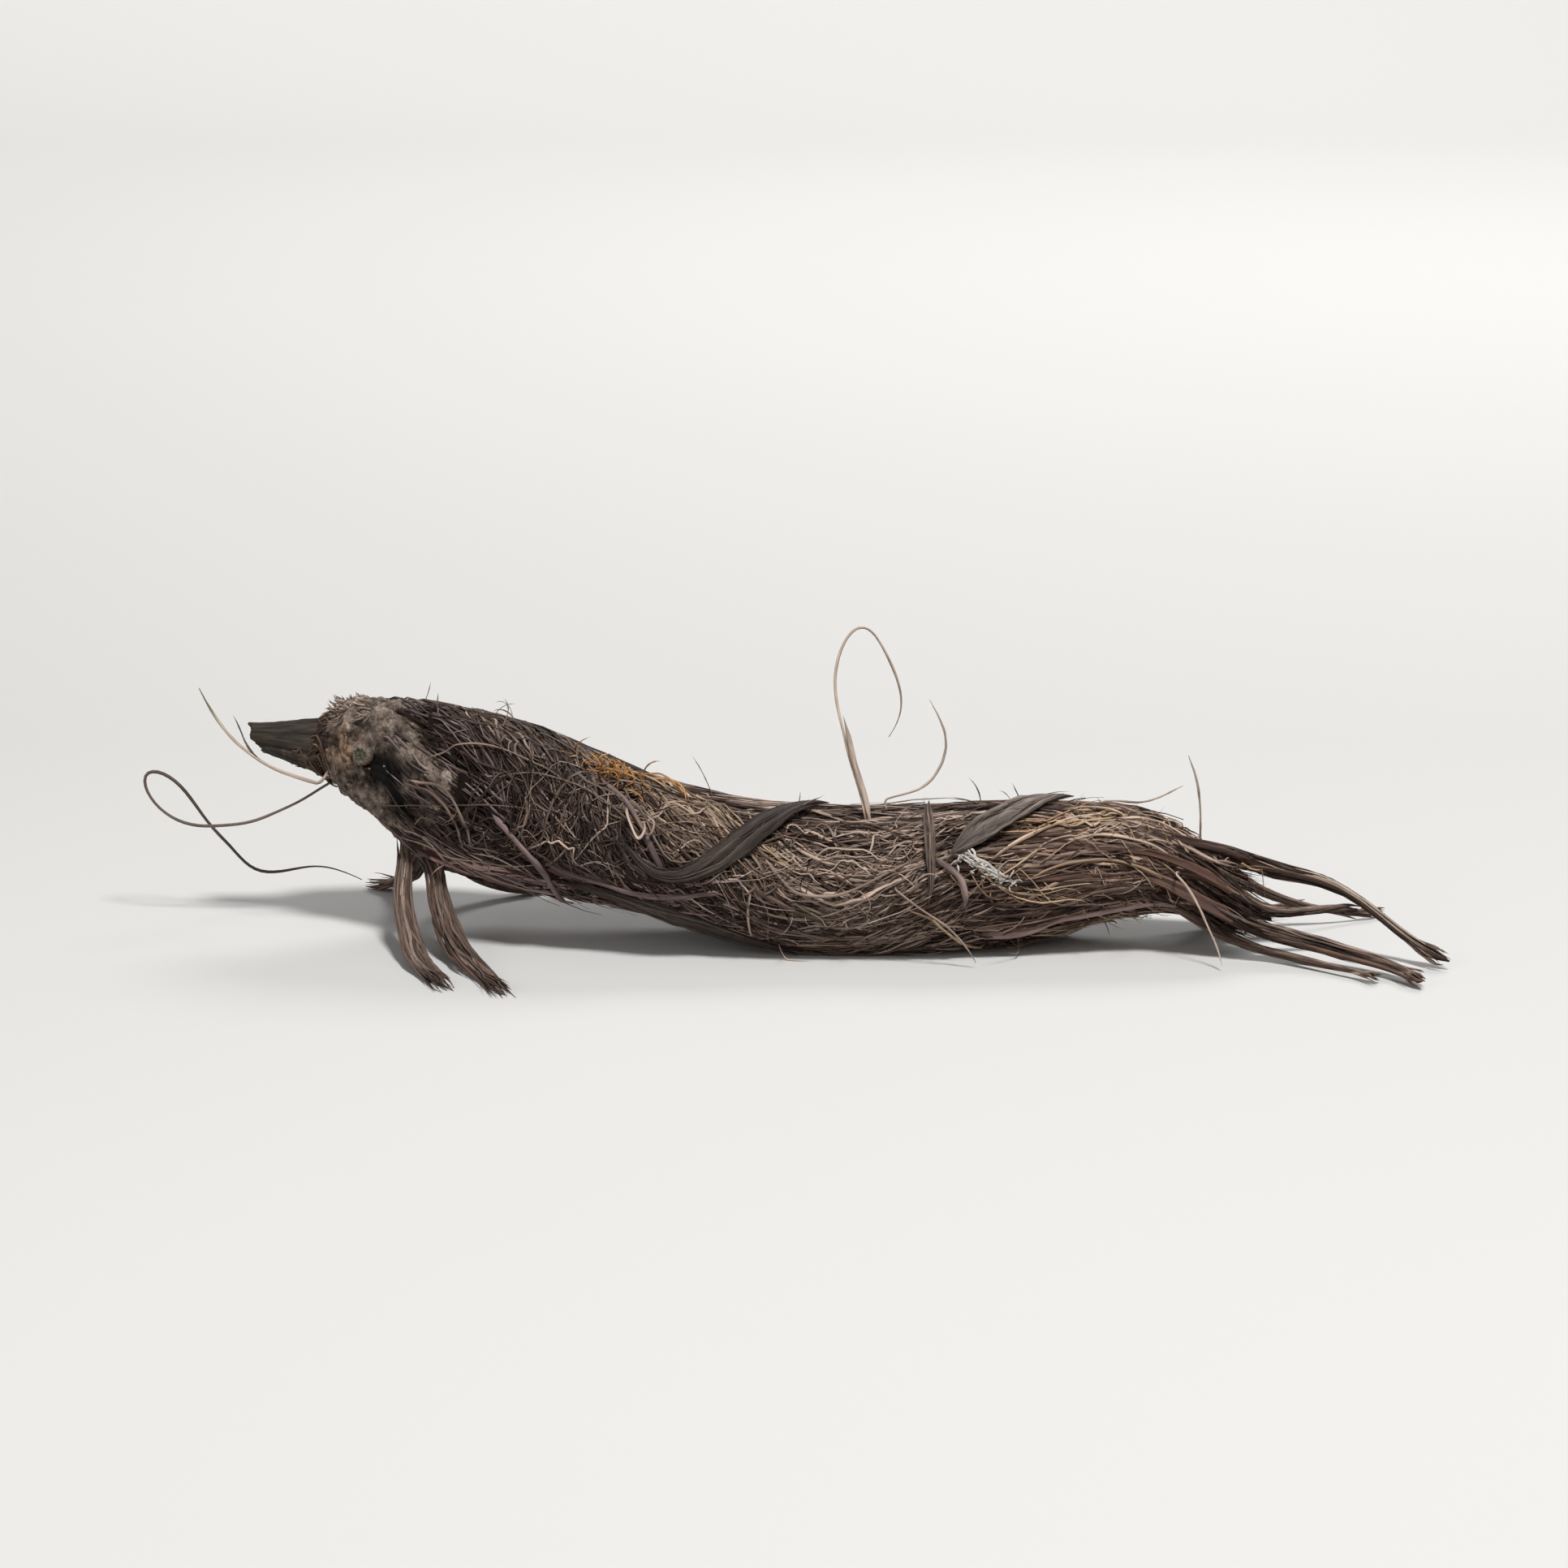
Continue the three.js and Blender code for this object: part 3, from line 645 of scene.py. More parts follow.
def spine(name, steps):
    """A CAD root's middle line, the way its flat side faces and its half width, read off its solid.

    The line is found by how far each vertex lies along the root from one of its ends.
    """
    points, faces = shape_of([name])
    keys, index = np.unique(np.round(points, 3), axis=0, return_inverse=True)
    near = [set() for _ in keys]
    for a, b, c in index.ravel()[faces]:
        near[a] |= {b, c}
        near[b] |= {a, c}
        near[c] |= {a, b}
    # Reach along the mesh from whichever end lies nearer the crown.
    start = int(np.argmax(reach_from(keys, near, 0)))
    reach = reach_from(keys, near, start)
    if keys[int(np.argmax(reach)), 0] < keys[start, 0]:
        start = int(np.argmax(reach))
        reach = reach_from(keys, near, start)
    mark_gap = 1.6  # mm along the root
    marks = np.linspace(0, reach.max(), max(8, int(reach.max() / mark_gap)))
    spread = marks[1] * 0.8
    weight = np.exp(-(((reach - marks[:, None]) / spread) ** 2))
    weight /= weight.sum(1, keepdims=True)
    line = weight @ keys
    line[0], line[-1] = keys[start], keys[int(np.argmax(reach))]
    line[1:-1] = (line[:-2] + 2 * line[1:-1] + line[2:]) / 4
    facing, half = [], []
    for mark, centre, along in zip(marks, line, unit(np.gradient(line, axis=0))):
        ring = keys[np.abs(reach - mark) < spread * 1.6] - centre
        ring = ring - np.outer(ring @ along, along)
        values, vectors = np.linalg.eigh(ring.T @ ring)
        faced = np.cross(along, vectors[:, 2])
        facing.append(faced if not facing or faced @ facing[-1] > 0 else -faced)
        half.append(math.sqrt(2 * values[2] / max(len(ring), 1)))
    share = np.linspace(0, 1, steps) * (len(line) - 1)
    knots = np.arange(len(line))
    smoothed = between(share, knots, line)
    for _ in range(max(1, steps // len(line))):
        smoothed[1:-1] = (smoothed[:-2] + 2 * smoothed[1:-1] + smoothed[2:]) / 4
    return smoothed, unit(between(share, knots, np.array(facing))), np.interp(share, knots, half)


def reach_from(points, near, start):
    """How far every vertex is from one, along the mesh's edges."""
    reach = np.full(len(points), np.inf)
    reach[start] = 0
    queue = [(0.0, start)]
    while queue:
        so_far, at = heapq.heappop(queue)
        if so_far > reach[at]:
            continue
        for other in near[at]:
            length = so_far + float(np.linalg.norm(points[at] - points[other]))
            if length < reach[other]:
                reach[other] = length
                heapq.heappush(queue, (length, other))
    return reach


def away_from(hank, centre):
    """The way out from the hank's line at each point."""
    off = centre[:, 1:] - hank.middle_at(centre[:, 0] - CROWN_X)
    return unit(np.concatenate([np.zeros((len(centre), 1)), off], 1))


def widths(steps, start, end, nicks):
    """A root's width along it as a share of its full one, tapering over start and end, with small nicks."""
    run = np.linspace(0, 1, steps)
    taper = smooth(run, -0.01, start) ** 0.7 * smooth(1 - run, -0.01, end) ** 0.7
    return taper * (1 + nicks * (drift((), steps, 7) + 0.5 * drift((), steps, 26)))


def wrinkled_root(
    name, centre, facing, wide, thick, colours, material, replaced, furrows=5, groove=0.1, curl=0.0
):
    """One thick or flat root, furrowed lengthwise, with painted shade in its furrows and painted light on its ridges.

    furrows is about how many go round it, groove is how deep they are, in mm, and curl lifts a flat one's edges.
    """
    steps, sides = len(centre), 32
    angle = circle(sides)
    wander = 0.35 * drift((), steps, 5)[:, None]
    furrow = np.zeros((steps, sides))
    for i, count in enumerate((furrows, furrows + 3, 2 * furrows + 5)):
        swing = 0.6 * drift((), steps, 9)[:, None]
        furrow += np.cos(count * (angle + wander) + swing + rng.uniform(0, 6.3)) / (2 + 1.4 * i)
    furrow *= 1 + 0.35 * drift((), steps, 16)[:, None]
    depth = groove * furrow * np.minimum(wide / wide.max() * 2, 1)[:, None]
    side, up = (vectors[0] for vectors in frames(centre[None], facing[None]))
    across = (wide[:, None] + 0.5 * depth) * np.cos(angle)
    height = thick[:, None] * np.sin(angle) + depth * smooth(np.sin(angle), -0.5, 0.3)
    height += curl * np.minimum(wide, 2 * thick)[:, None] * np.cos(angle) ** 4
    rings = centre[:, None] + across[..., None] * side[:, None] + height[..., None] * up[:, None]
    off_floor(rings)
    # Painted light and shade: the colour is darker down the furrows and lighter up the ridges.
    shade = 0.85 + 0.55 * furrow + 0.35 * np.clip(furrow, 0, 1) ** 2
    tone = root_tones(1, steps, colours)[0][:, None] * shade.clip(0.15, 2.2)[..., None]
    grain = grain_of(1, steps, sides, lengths(centre[None])) * [2.4, 2.4, 1]
    piece = skin_mesh(name, rings[None], np.clip(tone, 0.004, 0.8)[None], grain, 1 / 3)
    finish_piece(piece, material, replaced)


def strands_along(
    name, centre, facing, wide, thick, count, radius, colours, material,
    replaced=(), fray=0.0, span=(0.25, 0.7), within=0.15, around=(0, 360), twist=1, at_tip=False, steps=22,
):
    """Fine strands along a thick root, over its skin.

    fray is how far the strands part at the far end, in mm; span is the share of the root that each one runs along;
    within is how deep they may lie; around is the turns in degrees between which they lie, where 90 is the way that
    the root faces; twist is how much they wind; and at_tip is for ones that all end at its tip.
    """
    span = rng.uniform(*span, count)
    first = rng.uniform(0.96 if at_tip else 0, 1, count) * (1 - span)
    own = np.linspace(0, 1, steps)
    run = first[:, None] + span[:, None] * own
    knots = np.linspace(0, 1, len(centre))
    line = between(run, knots, centre)
    side, up = frames(line, between(run, knots, facing))
    angle = np.radians(rng.uniform(*around, (count, 1)))
    angle = angle + twist * (0.7 * drift(count, steps, 4) + 0.15 * drift(count, steps, 12))
    depth = 1 - within * rng.uniform(0, 1, (count, 1))
    parted = fray * rng.uniform(0, 1, (count, 1)) * smooth(run, 0.72, 1) * smooth(own, 0.1, 1)
    across = np.cos(angle) * (np.interp(run, knots, wide) * depth + parted)
    over = np.sin(angle) * (np.interp(run, knots, thick) * depth + parted)
    out = across[..., None] * side + over[..., None] * up
    line = line + across[..., None] * side + over[..., None] * up
    size = rng.uniform(*radius, (count, 1)) * smooth(own, -0.03, 0.15) * smooth(1 - own, -0.08, 0.3)
    size = size * (1 + 0.2 * drift(count, steps, 10))
    off_floor(line, size)
    piece = round_roots(name, line, unit(out), size, root_tones(count, steps, colours), 4)
    finish_piece(piece, material, replaced)


# ---- the pieces ----


def all_round(twist):
    """Guide curves that wind alike, at every 30 degrees round the hank."""
    return [[(station, start + turn) for station, turn in twist] for start in range(0, 361, 30)]


def fine_roots(hank):
    """The combed roots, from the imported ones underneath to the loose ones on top."""
    fibre = root_material("fine_root_fibre")
    base = all_round([(11, 62), (22, 40), (38, 14), (55, 0), (68, 10), (78, 14), (86, 6), (94, -2)])
    collar = all_round([(7, 66), (11, 58), (16, 46), (22, 34), (28, 22)])
    crown = [
        [(10.5, 84), (14, 70), (18, 42), (21.5, 10), (25, -20), (31, -42), (41, -58)],
        [(16, 94), (22, 76), (26, 44), (28.5, 12), (31, -14), (36.5, -32), (46, -42)],
        [(22, 98), (28, 80), (31.5, 52), (34, 24), (37, -2), (42, -18), (52, -26)],
    ]
    lower = [
        [(9, -8), (17, -24), (25, -32), (35, -34), (47, -36), (59, -34)],
        [(9, -42), (18, -50), (29, -52), (41, -52), (55, -50), (67, -40)],
        [(11, -74), (21, -80), (33, -80), (47, -76), (61, -70), (75, -56)],
    ]
    wedge = [
        [(28, 60), (34, 42), (39, 22), (45, 4), (52, -8)],
        [(31, 88), (38, 72), (45, 52), (52, 36), (60, 26)],
    ]
    belly = [
        [(49, 84), (58, 76), (65, 70), (72, 72), (82, 80)],
        [(49, 70), (58, 58), (65, 52), (72, 55), (82, 64)],
        [(46, 38), (52, 12), (58, 6), (64, 24), (72, 44)],
        [(41, -4), (51, -26), (59, -32), (66, -6), (74, 18)],
        [(37, -26), (47, -43), (58, -52), (65, -34), (74, -8)],
        [(35, -60), (48, -72), (60, -74), (70, -60), (80, -44)],
    ]
    right = [
        [(70, 92), (78, 94), (86, 94), (91, 92), (96, 88), (101, 76)],
        [(68, 60), (76, 58), (83, 56), (88, 50), (93, 36), (100, 10)],
        [(69, 30), (76, 28), (83, 30), (88, 22), (93, 4), (100, -22)],
        [(68, 2), (75, -2), (82, 0), (87, -10), (92, -24), (99, -48)],
        [(67, -26), (75, -38), (82, -42), (87, -47), (92, -56), (98, -74)],
        [(66, -60), (75, -70), (82, -76), (87, -80), (92, -86), (98, -100)],
        [(66, -88), (75, -98), (82, -104), (87, -108), (92, -114), (98, -126)],
    ]
    top = [
        [(28, 112), (44, 96), (58, 90), (72, 88), (86, 84), (98, 70)],
        [(28, 140), (44, 126), (60, 118), (74, 114), (88, 106), (99, 96)],
    ]
    back = [
        [(9, 104), (24, 112), (40, 120), (58, 122), (76, 128), (97, 144)],
        [(9, 142), (26, 150), (42, 158), (60, 160), (78, 168), (97, 186)],
        [(10, 180), (28, 192), (46, 198), (64, 200), (82, 210), (97, 226)],
        [(10, 222), (30, 232), (48, 236), (66, 238), (84, 250), (97, 264)],
        [(11, 262), (30, 268), (50, 272), (68, 276), (86, 286), (97, 298)],
    ]
    arcs = [
        [(12, 82), (17, 68), (20, 44), (21, 16), (19, -10)],
        [(15, 92), (22, 76), (25.5, 48), (26.5, 18), (24, -12)],
        [(21, 98), (28, 80), (31.5, 52), (32.5, 22), (30, -6)],
    ]
    swoops = [
        [(40, 2), (48, -16), (57, -22), (64, -2), (69, 12)],
        [(38, -14), (47, -34), (57, -40), (65, -20), (71, 2)],
        [(35, -34), (46, -54), (57, -58), (66, -40), (73, -14)],
    ]
    tangle = [
        [(20, 60), (32, 50), (44, 40), (56, 30)],
        [(12, 0), (26, 0), (40, 0), (54, 0)],
        [(14, -60), (28, -60), (42, -62), (56, -62)],
    ]
    greys = (MAUVE, MAUVE_DARK, GREY_BROWN, MAUVE_PALE)
    browns = (BROWN, TAN, GREY_BROWN)
    tans = (TAN, BROWN, STRAW, RED_BROWN)
    fine, thin, broad = (0.07, 0.21), (0.08, 0.25), (0.26, 0.42)
    loose = dict(lean=14, span=(0.15, 0.5), wave=1.3, free=0.25, stray=1)
    groups = (  # name, guides, count, radius, lift, colours, and what else comb takes
        # The deepest layer: near-black shadow brown among its colours, painted shade for the gaps under the others.
        ("packed_roots", base, 660, (0.24, 0.5), (-0.3, 0), (SHADOW_BROWN, DARK_BROWN, RED_BROWN),
         dict(span=(0.25, 0.5), free=0, stray=2, steps=12, to_station=96)),
        ("collar_roots", collar, 340, (0.08, 0.2), (-0.15, 0.3), greys,
         dict(span=(0.3, 0.9), stray=1.2, steps=12)),
        ("crown_roots", crown, 600, fine, (-0.1, 0.5), greys, dict(stray=1.4, wave=1.2, lean=12, shade=0.8)),
        ("crown_arcs", arcs, 190, fine, (0.1, 0.7), (TAN, GREY_BROWN), dict(loose, span=(0.3, 0.8), shade=0.5)),
        ("lower_roots", lower, 560, fine, (-0.1, 0.5), greys,
         dict(stray=1.5, lean=14, free=0.14, wave=1.4, shade=4.8)),
        ("lower_pale_roots", lower, 60, (0.08, 0.16), (0.4, 0.9), (MAUVE_PALE, TAN), dict(loose, shade=1.1)),
        ("lower_broad_roots", lower, 60, (0.3, 0.5), (0.1, 0.6), (MAUVE, RED_BROWN),
         dict(stray=1.5, lean=9, wave=0.9, shade=2.2)),
        ("tangled_roots", tangle, 210, (0.07, 0.17), (0.3, 0.8), (TAN, BROWN, GREY_BROWN),
         dict(steps=18, stray=2.5, lean=45, wave=2.4, span=(0.12, 0.4), free=0.2)),
        ("wedge_roots", wedge, 360, fine, (0, 0.7), (TAN, STRAW, BROWN),
         dict(stray=1.6, lean=26, wave=1.5, shade=1.35)),
        ("belly_roots", belly, 1000, thin, (-0.1, 0.55), browns, dict(stray=1.1, wave=1, shade=1.7)),
        ("belly_broad_roots", belly, 80, broad, (0, 0.55), browns, dict(stray=1.2, wave=0.9, shade=0.95)),
        ("end_roots", right, 840, thin, (-0.1, 0.55), tans, dict(stray=0.9, free=0.16, wave=1.3, shade=3.6)),
        ("end_broad_roots", right, 80, broad, (0, 0.55), (RED_BROWN, BROWN, DARK_BROWN),
         dict(stray=1, wave=0.7, shade=1.9)),
        ("crown_pale_roots", crown, 70, (0.07, 0.13), (0.3, 0.7), (TAN, GREY_BROWN), loose),
        ("belly_swoops", swoops, 80, (0.09, 0.17), (0.3, 0.8), (TAN, PALE), dict(loose, lean=4, span=(0.5, 0.95))),
        ("belly_pale_roots", belly, 190, (0.07, 0.14), (0.35, 0.75), (PALE, TAN), dict(loose, shade=1.6)),
        ("end_pale_roots", right, 200, (0.07, 0.15), (0.35, 0.9), (PALE, GOLD, TAN), dict(loose, shade=2.8)),
        ("top_roots", top, 340, thin, (-0.1, 0.45), browns, dict(stray=1.2)),
        ("far_roots", back, 620, (0.12, 0.32), (-0.1, 0.5), browns, dict(stray=1.6, lean=9, wave=1, shade=1.4)),
        ("far_pale_roots", back, 110, (0.08, 0.15), (0.3, 0.7), (TAN, BROWN), loose),
    )
    for *laid, look in groups:
        finish_piece(comb(hank, *laid, **look), fibre)


def rhizome():
    """The knobbly rhizome, with leaf rings by the stem, wrinkles, buds, two hollows and cracks."""
    low, high = (corner[0] / MM - CROWN_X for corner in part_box("rhizome"))
    body = Skin(["rhizome"], low + 0.3, high - 0.3)
    shown = 19.0  # the station where the hank starts to hide it
    stations = np.concatenate([np.linspace(low + 0.05, shown, 124), np.linspace(shown + 0.5, high - 0.05, 12)])
    station, angle = np.meshgrid(stations, circle(160), indexing="ij")
    point, out = body.at(station, angle, 0.0)
    relief = np.array([bark_relief(*at) for at in zip(point.reshape(-1, 3), station.ravel())]).reshape(station.shape)
    for depth, *hollow in ((1.1, 7.2, 2, 1.8), (0.8, 9, -20, 1.4)):
        relief -= depth * near_to(station, angle, *hollow)
    ends = smooth(station, low - 0.4, low + 1.6)
    rings = point + out * (relief * ends)[..., None]
    rings[:, :, 0] += 0.35 * relief * (1 - ends)
    tones = bark_tones(relief, station, angle, point)
    piece = skin_mesh("rhizome_bark", rings[None], tones[None], np.zeros((1, *relief.shape, 3)), 1)
    finish_piece(piece, bark_material(), ["rhizome"])


def near_to(station, angle, at_station, at_degrees, spread, radius=6.5):
    """1 at a place on the rhizome, falling to 0 around it. spread is in mm."""
    aside = radius * 2 * np.sin((angle - math.radians(at_degrees)) / 2)
    return np.exp(-((station - at_station) ** 2 + aside**2) / spread**2)


def bark_relief(point, station):
    """How far the bark stands out, in mm."""
    at = Vector(point)
    lumps = noise.noise(at * 0.5 + Vector((9, 0, 0)))
    wrinkles = noise.fractal(Vector((at.x * 0.7, at.y * 1.3, at.z * 1.3)), 0.8, 2.1, 4)
    wobble = noise.noise(at * 0.4) * 2.2
    rings = abs(math.sin((station + wobble) * 2.6)) ** 0.7 - 0.6
    crowded = max(0.0, 1 - station / 9)
    edge = noise.voronoi(at * 0.9)[0]
    crack = min(1.0, (edge[1] - edge[0]) * 4) - 1
    return 0.62 * lumps + 0.26 * wrinkles + (0.08 + 0.22 * crowded) * rings + 0.16 * crack


def bark_tones(relief, station, angle, point):
    """Dark in the cracks and low places and grey-brown on the ridges, painted shade that follows the relief, with
    rust by the crown, gold by the stem and painted shadow in the two hollows.
    """
    # Painted shade: the lower the bark, the nearer its colour is to near-black.
    height = smooth(relief, -0.75, 0.55)[..., None]
    tone = blend(linear(SHADOW_BROWN), linear(BARK_GREY), height)
    rust = smooth(spots(point, 1.1), 0.05, 0.5)[..., None] * 0.5 * (1 - smooth(station, 8, 14))[..., None]
    tone = blend(tone, linear(RUST) * height, rust)
    gold = near_to(station, angle, 2.4, 8, 1.5, 4)[..., None] * height
    tone = blend(tone, linear(BARK_GOLD), gold)
    # Painted shadow in the two hollows.
    hollow = np.maximum(near_to(station, angle, 7.4, 0, 2.1), near_to(station, angle, 9, -20, 1.6))[..., None]
    return np.clip(tone * (1 - 0.8 * hollow), 0.003, 0.8)


def stem_scar():
    """The low, rough ring of a cut side stem, where the CAD ring stands."""
    points, _ = shape_of(["side_stem_scar"])
    middle = points.mean(0)
    _, vectors = np.linalg.eigh(np.cov((points - middle).T))
    out = vectors[:, 0] * (-1 if vectors[1, 0] > 0 else 1)
    across, up = vectors[:, 2], np.cross(out, vectors[:, 2])
    half = np.ptp((points - middle) @ across) / 2
    rim = np.ptp((points - middle) @ out) / 2
    # Reach and rise, as shares of the ring's half width and its rim, from its foot to the middle of its pith.
    profile = [(1.3, -1), (1.15, -0.2), (1.0, 0.1), (0.8, 0.22), (0.6, 0.16), (0.45, 0), (0.25, 0.04), (0.06, 0.06)]
    sides, steps = 48, 40
    share = np.linspace(0, 1, steps) * (len(profile) - 1)
    reach, rise = between(share, np.arange(len(profile)), np.array(profile)).T
    angle = circle(sides)
    rough = 1 + 0.07 * np.sin(3 * angle + 1) + 0.05 * drift(sides, steps, 6).T
    spoke = (reach * half * 0.68)[:, None] * rough
    height = (rise * rim * 0.75)[:, None] + 0.08 * drift(sides, steps, 8).T
    rings = middle - 0.25 * out
    rings = rings + spoke[..., None] * (np.cos(angle)[:, None] * across + np.sin(angle)[:, None] * up)
    rings = rings + height[..., None] * out
    mottle = 1 + 0.35 * drift(sides, steps, 10).T[..., None]
    tones = blend(linear(BARK_GREY), linear(SCAR_GREEN), smooth(share, 2, 5)[:, None, None]) * mottle
    # Painted shade: darker at the ring's foot, where it meets the bark, and on its inner wall down into the pith.
    tones = tones * np.interp(share, [0, 3, 4.4, 5.4, 7], [0.4, 0.8, 0.4, 0.9, 1.0])[:, None, None]
    grain = grain_of(1, steps, sides, 4) * [3, 3, 1]
    piece = skin_mesh("stem_scar_ring", rings[None], np.clip(tones, 0.004, 0.8)[None], grain, 1)
    finish_piece(piece, root_material("cut_stem", 3, (0.6, 0.8), 0.0001), ["side_stem_scar"])


def flat_roots(hank):
    """Flattened, grooved roots that lie over the combed ones and end in torn fibres."""
    material = root_material("flat_root_skin", 3.2, (0.5, 0.75), 0.00015)
    shades = {"flat_root_2": (BROWN, TAN, GREY_BROWN), "flat_root_3": (STRAP_GREY, GREY_BROWN, GREY_BROWN)}
    steps = 72
    for name in nodes_named("flat_root_"):
        colours = shades.get(name, (STRAP_GREY, DARK_BROWN, GREY_BROWN))
        centre, _, half = spine(name, steps)
        facing = away_from(hank, centre)
        width, start, end = (1.25, 0.4, 0.3) if name == "flat_root_3" else (0.98, 0.56, 0.42)
        wide = np.quantile(half, 0.8) * width * widths(steps, start, end, 0.16)
        thick = 0.3 * widths(steps, 0.1, 0.15, 0.1) + THIN_EDGE
        centre = centre + facing * 0.25
        wrinkled_root(
            f"{name}_skin", centre, facing, wide, thick, colours, material, [name],
            furrows=6, groove=0.17, curl=0.25,
        )
        strands_along(
            f"{name}_fibres", centre, facing, wide * 0.95, thick, 34, (0.05, 0.12), (BROWN, STRAP_GREY, GREY_BROWN),
            material, fray=0.8, span=(0.3, 0.9),
        )


def laid_straps(hank):
    """Smaller torn strips of bark and flat root that lie on the hank."""
    material = root_material("torn_strip", 3.0, (0.55, 0.8), 0.00015)
    steps = 44
    straps = (  # name, path of station and turn, half width, colours
        ("dark_strip", [(80, 14), (83, 3), (87, -12), (90, -22)], 1.0, (DARK_BROWN, STRAP_GREY)),
        ("crust_strip", [(76.5, -78), (80, -74), (84, -70), (88, -58)], 0.6, (BARK_GREY, STRAP_GREY, TAN)),
        ("pale_strip", [(27.6, -76), (30.2, -44), (32.5, -22)], 0.42, (TAN, GREY_BROWN)),
        ("second_strap", [(33, 30), (37, 22), (44, 32), (50, 66), (54, 96)], 0.55, (STRAP_GREY, GREY_BROWN)),
        ("brown_strip", [(22, -34), (30, -44), (40, -52), (49, -62)], 0.6, (MAUVE, BROWN)),
        ("lower_strip", [(16, 2), (24, -14), (33, -22), (41, -30)], 0.5, (RED_BROWN, GREY_BROWN)),
    )
    for name, path, half, colours in straps:
        station, turn = curve(path, steps).T
        wave = 0.03 * drift((), steps, 5)
        lift = 0.35 + 0.25 * drift((), steps, 6)
        centre, facing = hank.at(station, np.radians(turn) + wave, lift)
        off_floor(centre, 0.48)
        wide, thick = half * widths(steps, 0.4, 0.4, 0.25), 0.16 * widths(steps, 0.1, 0.1, 0.1) + THIN_EDGE
        wrinkled_root(
            f"{name}_skin", centre, facing, wide, thick, colours, material, (),
            furrows=5, groove=0.12, curl=0.4,
        )
        strands_along(
            f"{name}_fibres", centre, facing, wide, thick, 12, (0.05, 0.12), (*colours, TAN), material,
            fray=1.0, span=(0.3, 1.0), steps=16,
        )


def long_roots(hank):
    """Wrinkled roots that run on past the hank, each gathering finer ones from it."""
    material = root_material("long_root_skin", 2.6, (0.42, 0.75), 0.00015)
    steps = 80
    shares = {  # half width and thickness over the CAD root's, how far its tip tapers, finer roots and their spread
        "long_root_1": (0.65, 0.6, 0.06, 90, 0.5),
        "long_root_2": (0.7, 0.35, 0.1, 130, 0.9),
        "long_root_3": (1.05, 0.4, 0.06, 110, 0.5),
        "long_root_4": (0.5, 0.5, 0.3, 60, 0.5),
    }
    lines = {}
    for name in nodes_named("long_root_"):
        centre, _, half = spine(name, steps)
        past_hank = smooth(centre[:, 0] - CROWN_X, 88, 101)[:, None]  # the stations over which it leaves the hank
        out = away_from(hank, centre)
        above = unit(np.array([0, 0.4 * np.sign(out[:44, 1].mean()), 0.9]))
        facing = unit(blend(out, above, past_hank))
        centre = lines[name] = centre - (1 - past_hank) * facing
        wide_share, thick_share, tip, count, spread = shares.get(name, (0.7, 0.45, 0.4, 60, 0.6))
        shape = np.quantile(half, 0.7) * widths(steps, 0.12, tip, 0.18) * (0.5 + 0.5 * past_hank[:, 0])
        shape = shape * (1 - 0.3 * smooth(np.linspace(0, 1, steps), 0.5, 0.85))
        wide, thick = wide_share * shape, thick_share * shape
        wrinkled_root(
            f"{name}_skin", centre, facing, wide, thick, (RED_BROWN, DARK_BROWN, BROWN), material,
            [name], furrows=4, groove=0.12, curl=0.1,
        )
        strands_along(
            f"{name}_tip", centre, facing, wide, thick, 14, (0.08, 0.2), (BROWN, RED_BROWN, DARK_BROWN, TAN),
            material, fray=0.8, span=(0.06, 0.2), at_tip=True, steps=12, twist=0.35,
        )
        gathered_roots(hank, f"{name}_gathered", centre, wide, thick, count, spread, material)
        free = centre[:, 0] - CROWN_X > 99
        centre, wide = centre[free], wide[free]
        above = np.broadcast_to(np.array([0.0, -0.4, 0.9]), centre.shape)
        # Strands on the free part's upper side. On long_root_1 they are pale, a painted highlight along its lit upper
        # edge.
        strands_along(
            f"{name}_edge", centre, above, 1.1 * wide + 0.1, 0.9 * wide + 0.12, 9, (0.07, 0.15),
            (PALE, PALE) if name == "long_root_1" else (TAN, BROWN),
            material, around=(60, 105), span=(0.4, 0.9), steps=30, twist=0.25,
        )
    forks = ((1, 2, 103), (2, 3, 105), (3, 4, 102), (2, 5, 104), (5, 6, 104))  # two long roots, and the last station
    for i, (one, other, end) in enumerate(forks, 1):
        station = np.linspace(84, end, 30)
        sides = [lines[f"long_root_{number}"] for number in (one, other)]
        sides = [between(station, side[:, 0] - CROWN_X, side) for side in sides]
        apart = np.abs(sides[0] - sides[1]) / 2
        wide, thick = apart[:, 1] + 0.3, 2 * apart[:, 2] - apart[:, 1] + 0.3
        gathered_roots(hank, f"fork_{i}", sum(sides) / 2, wide, thick, 60, 0.4, material)


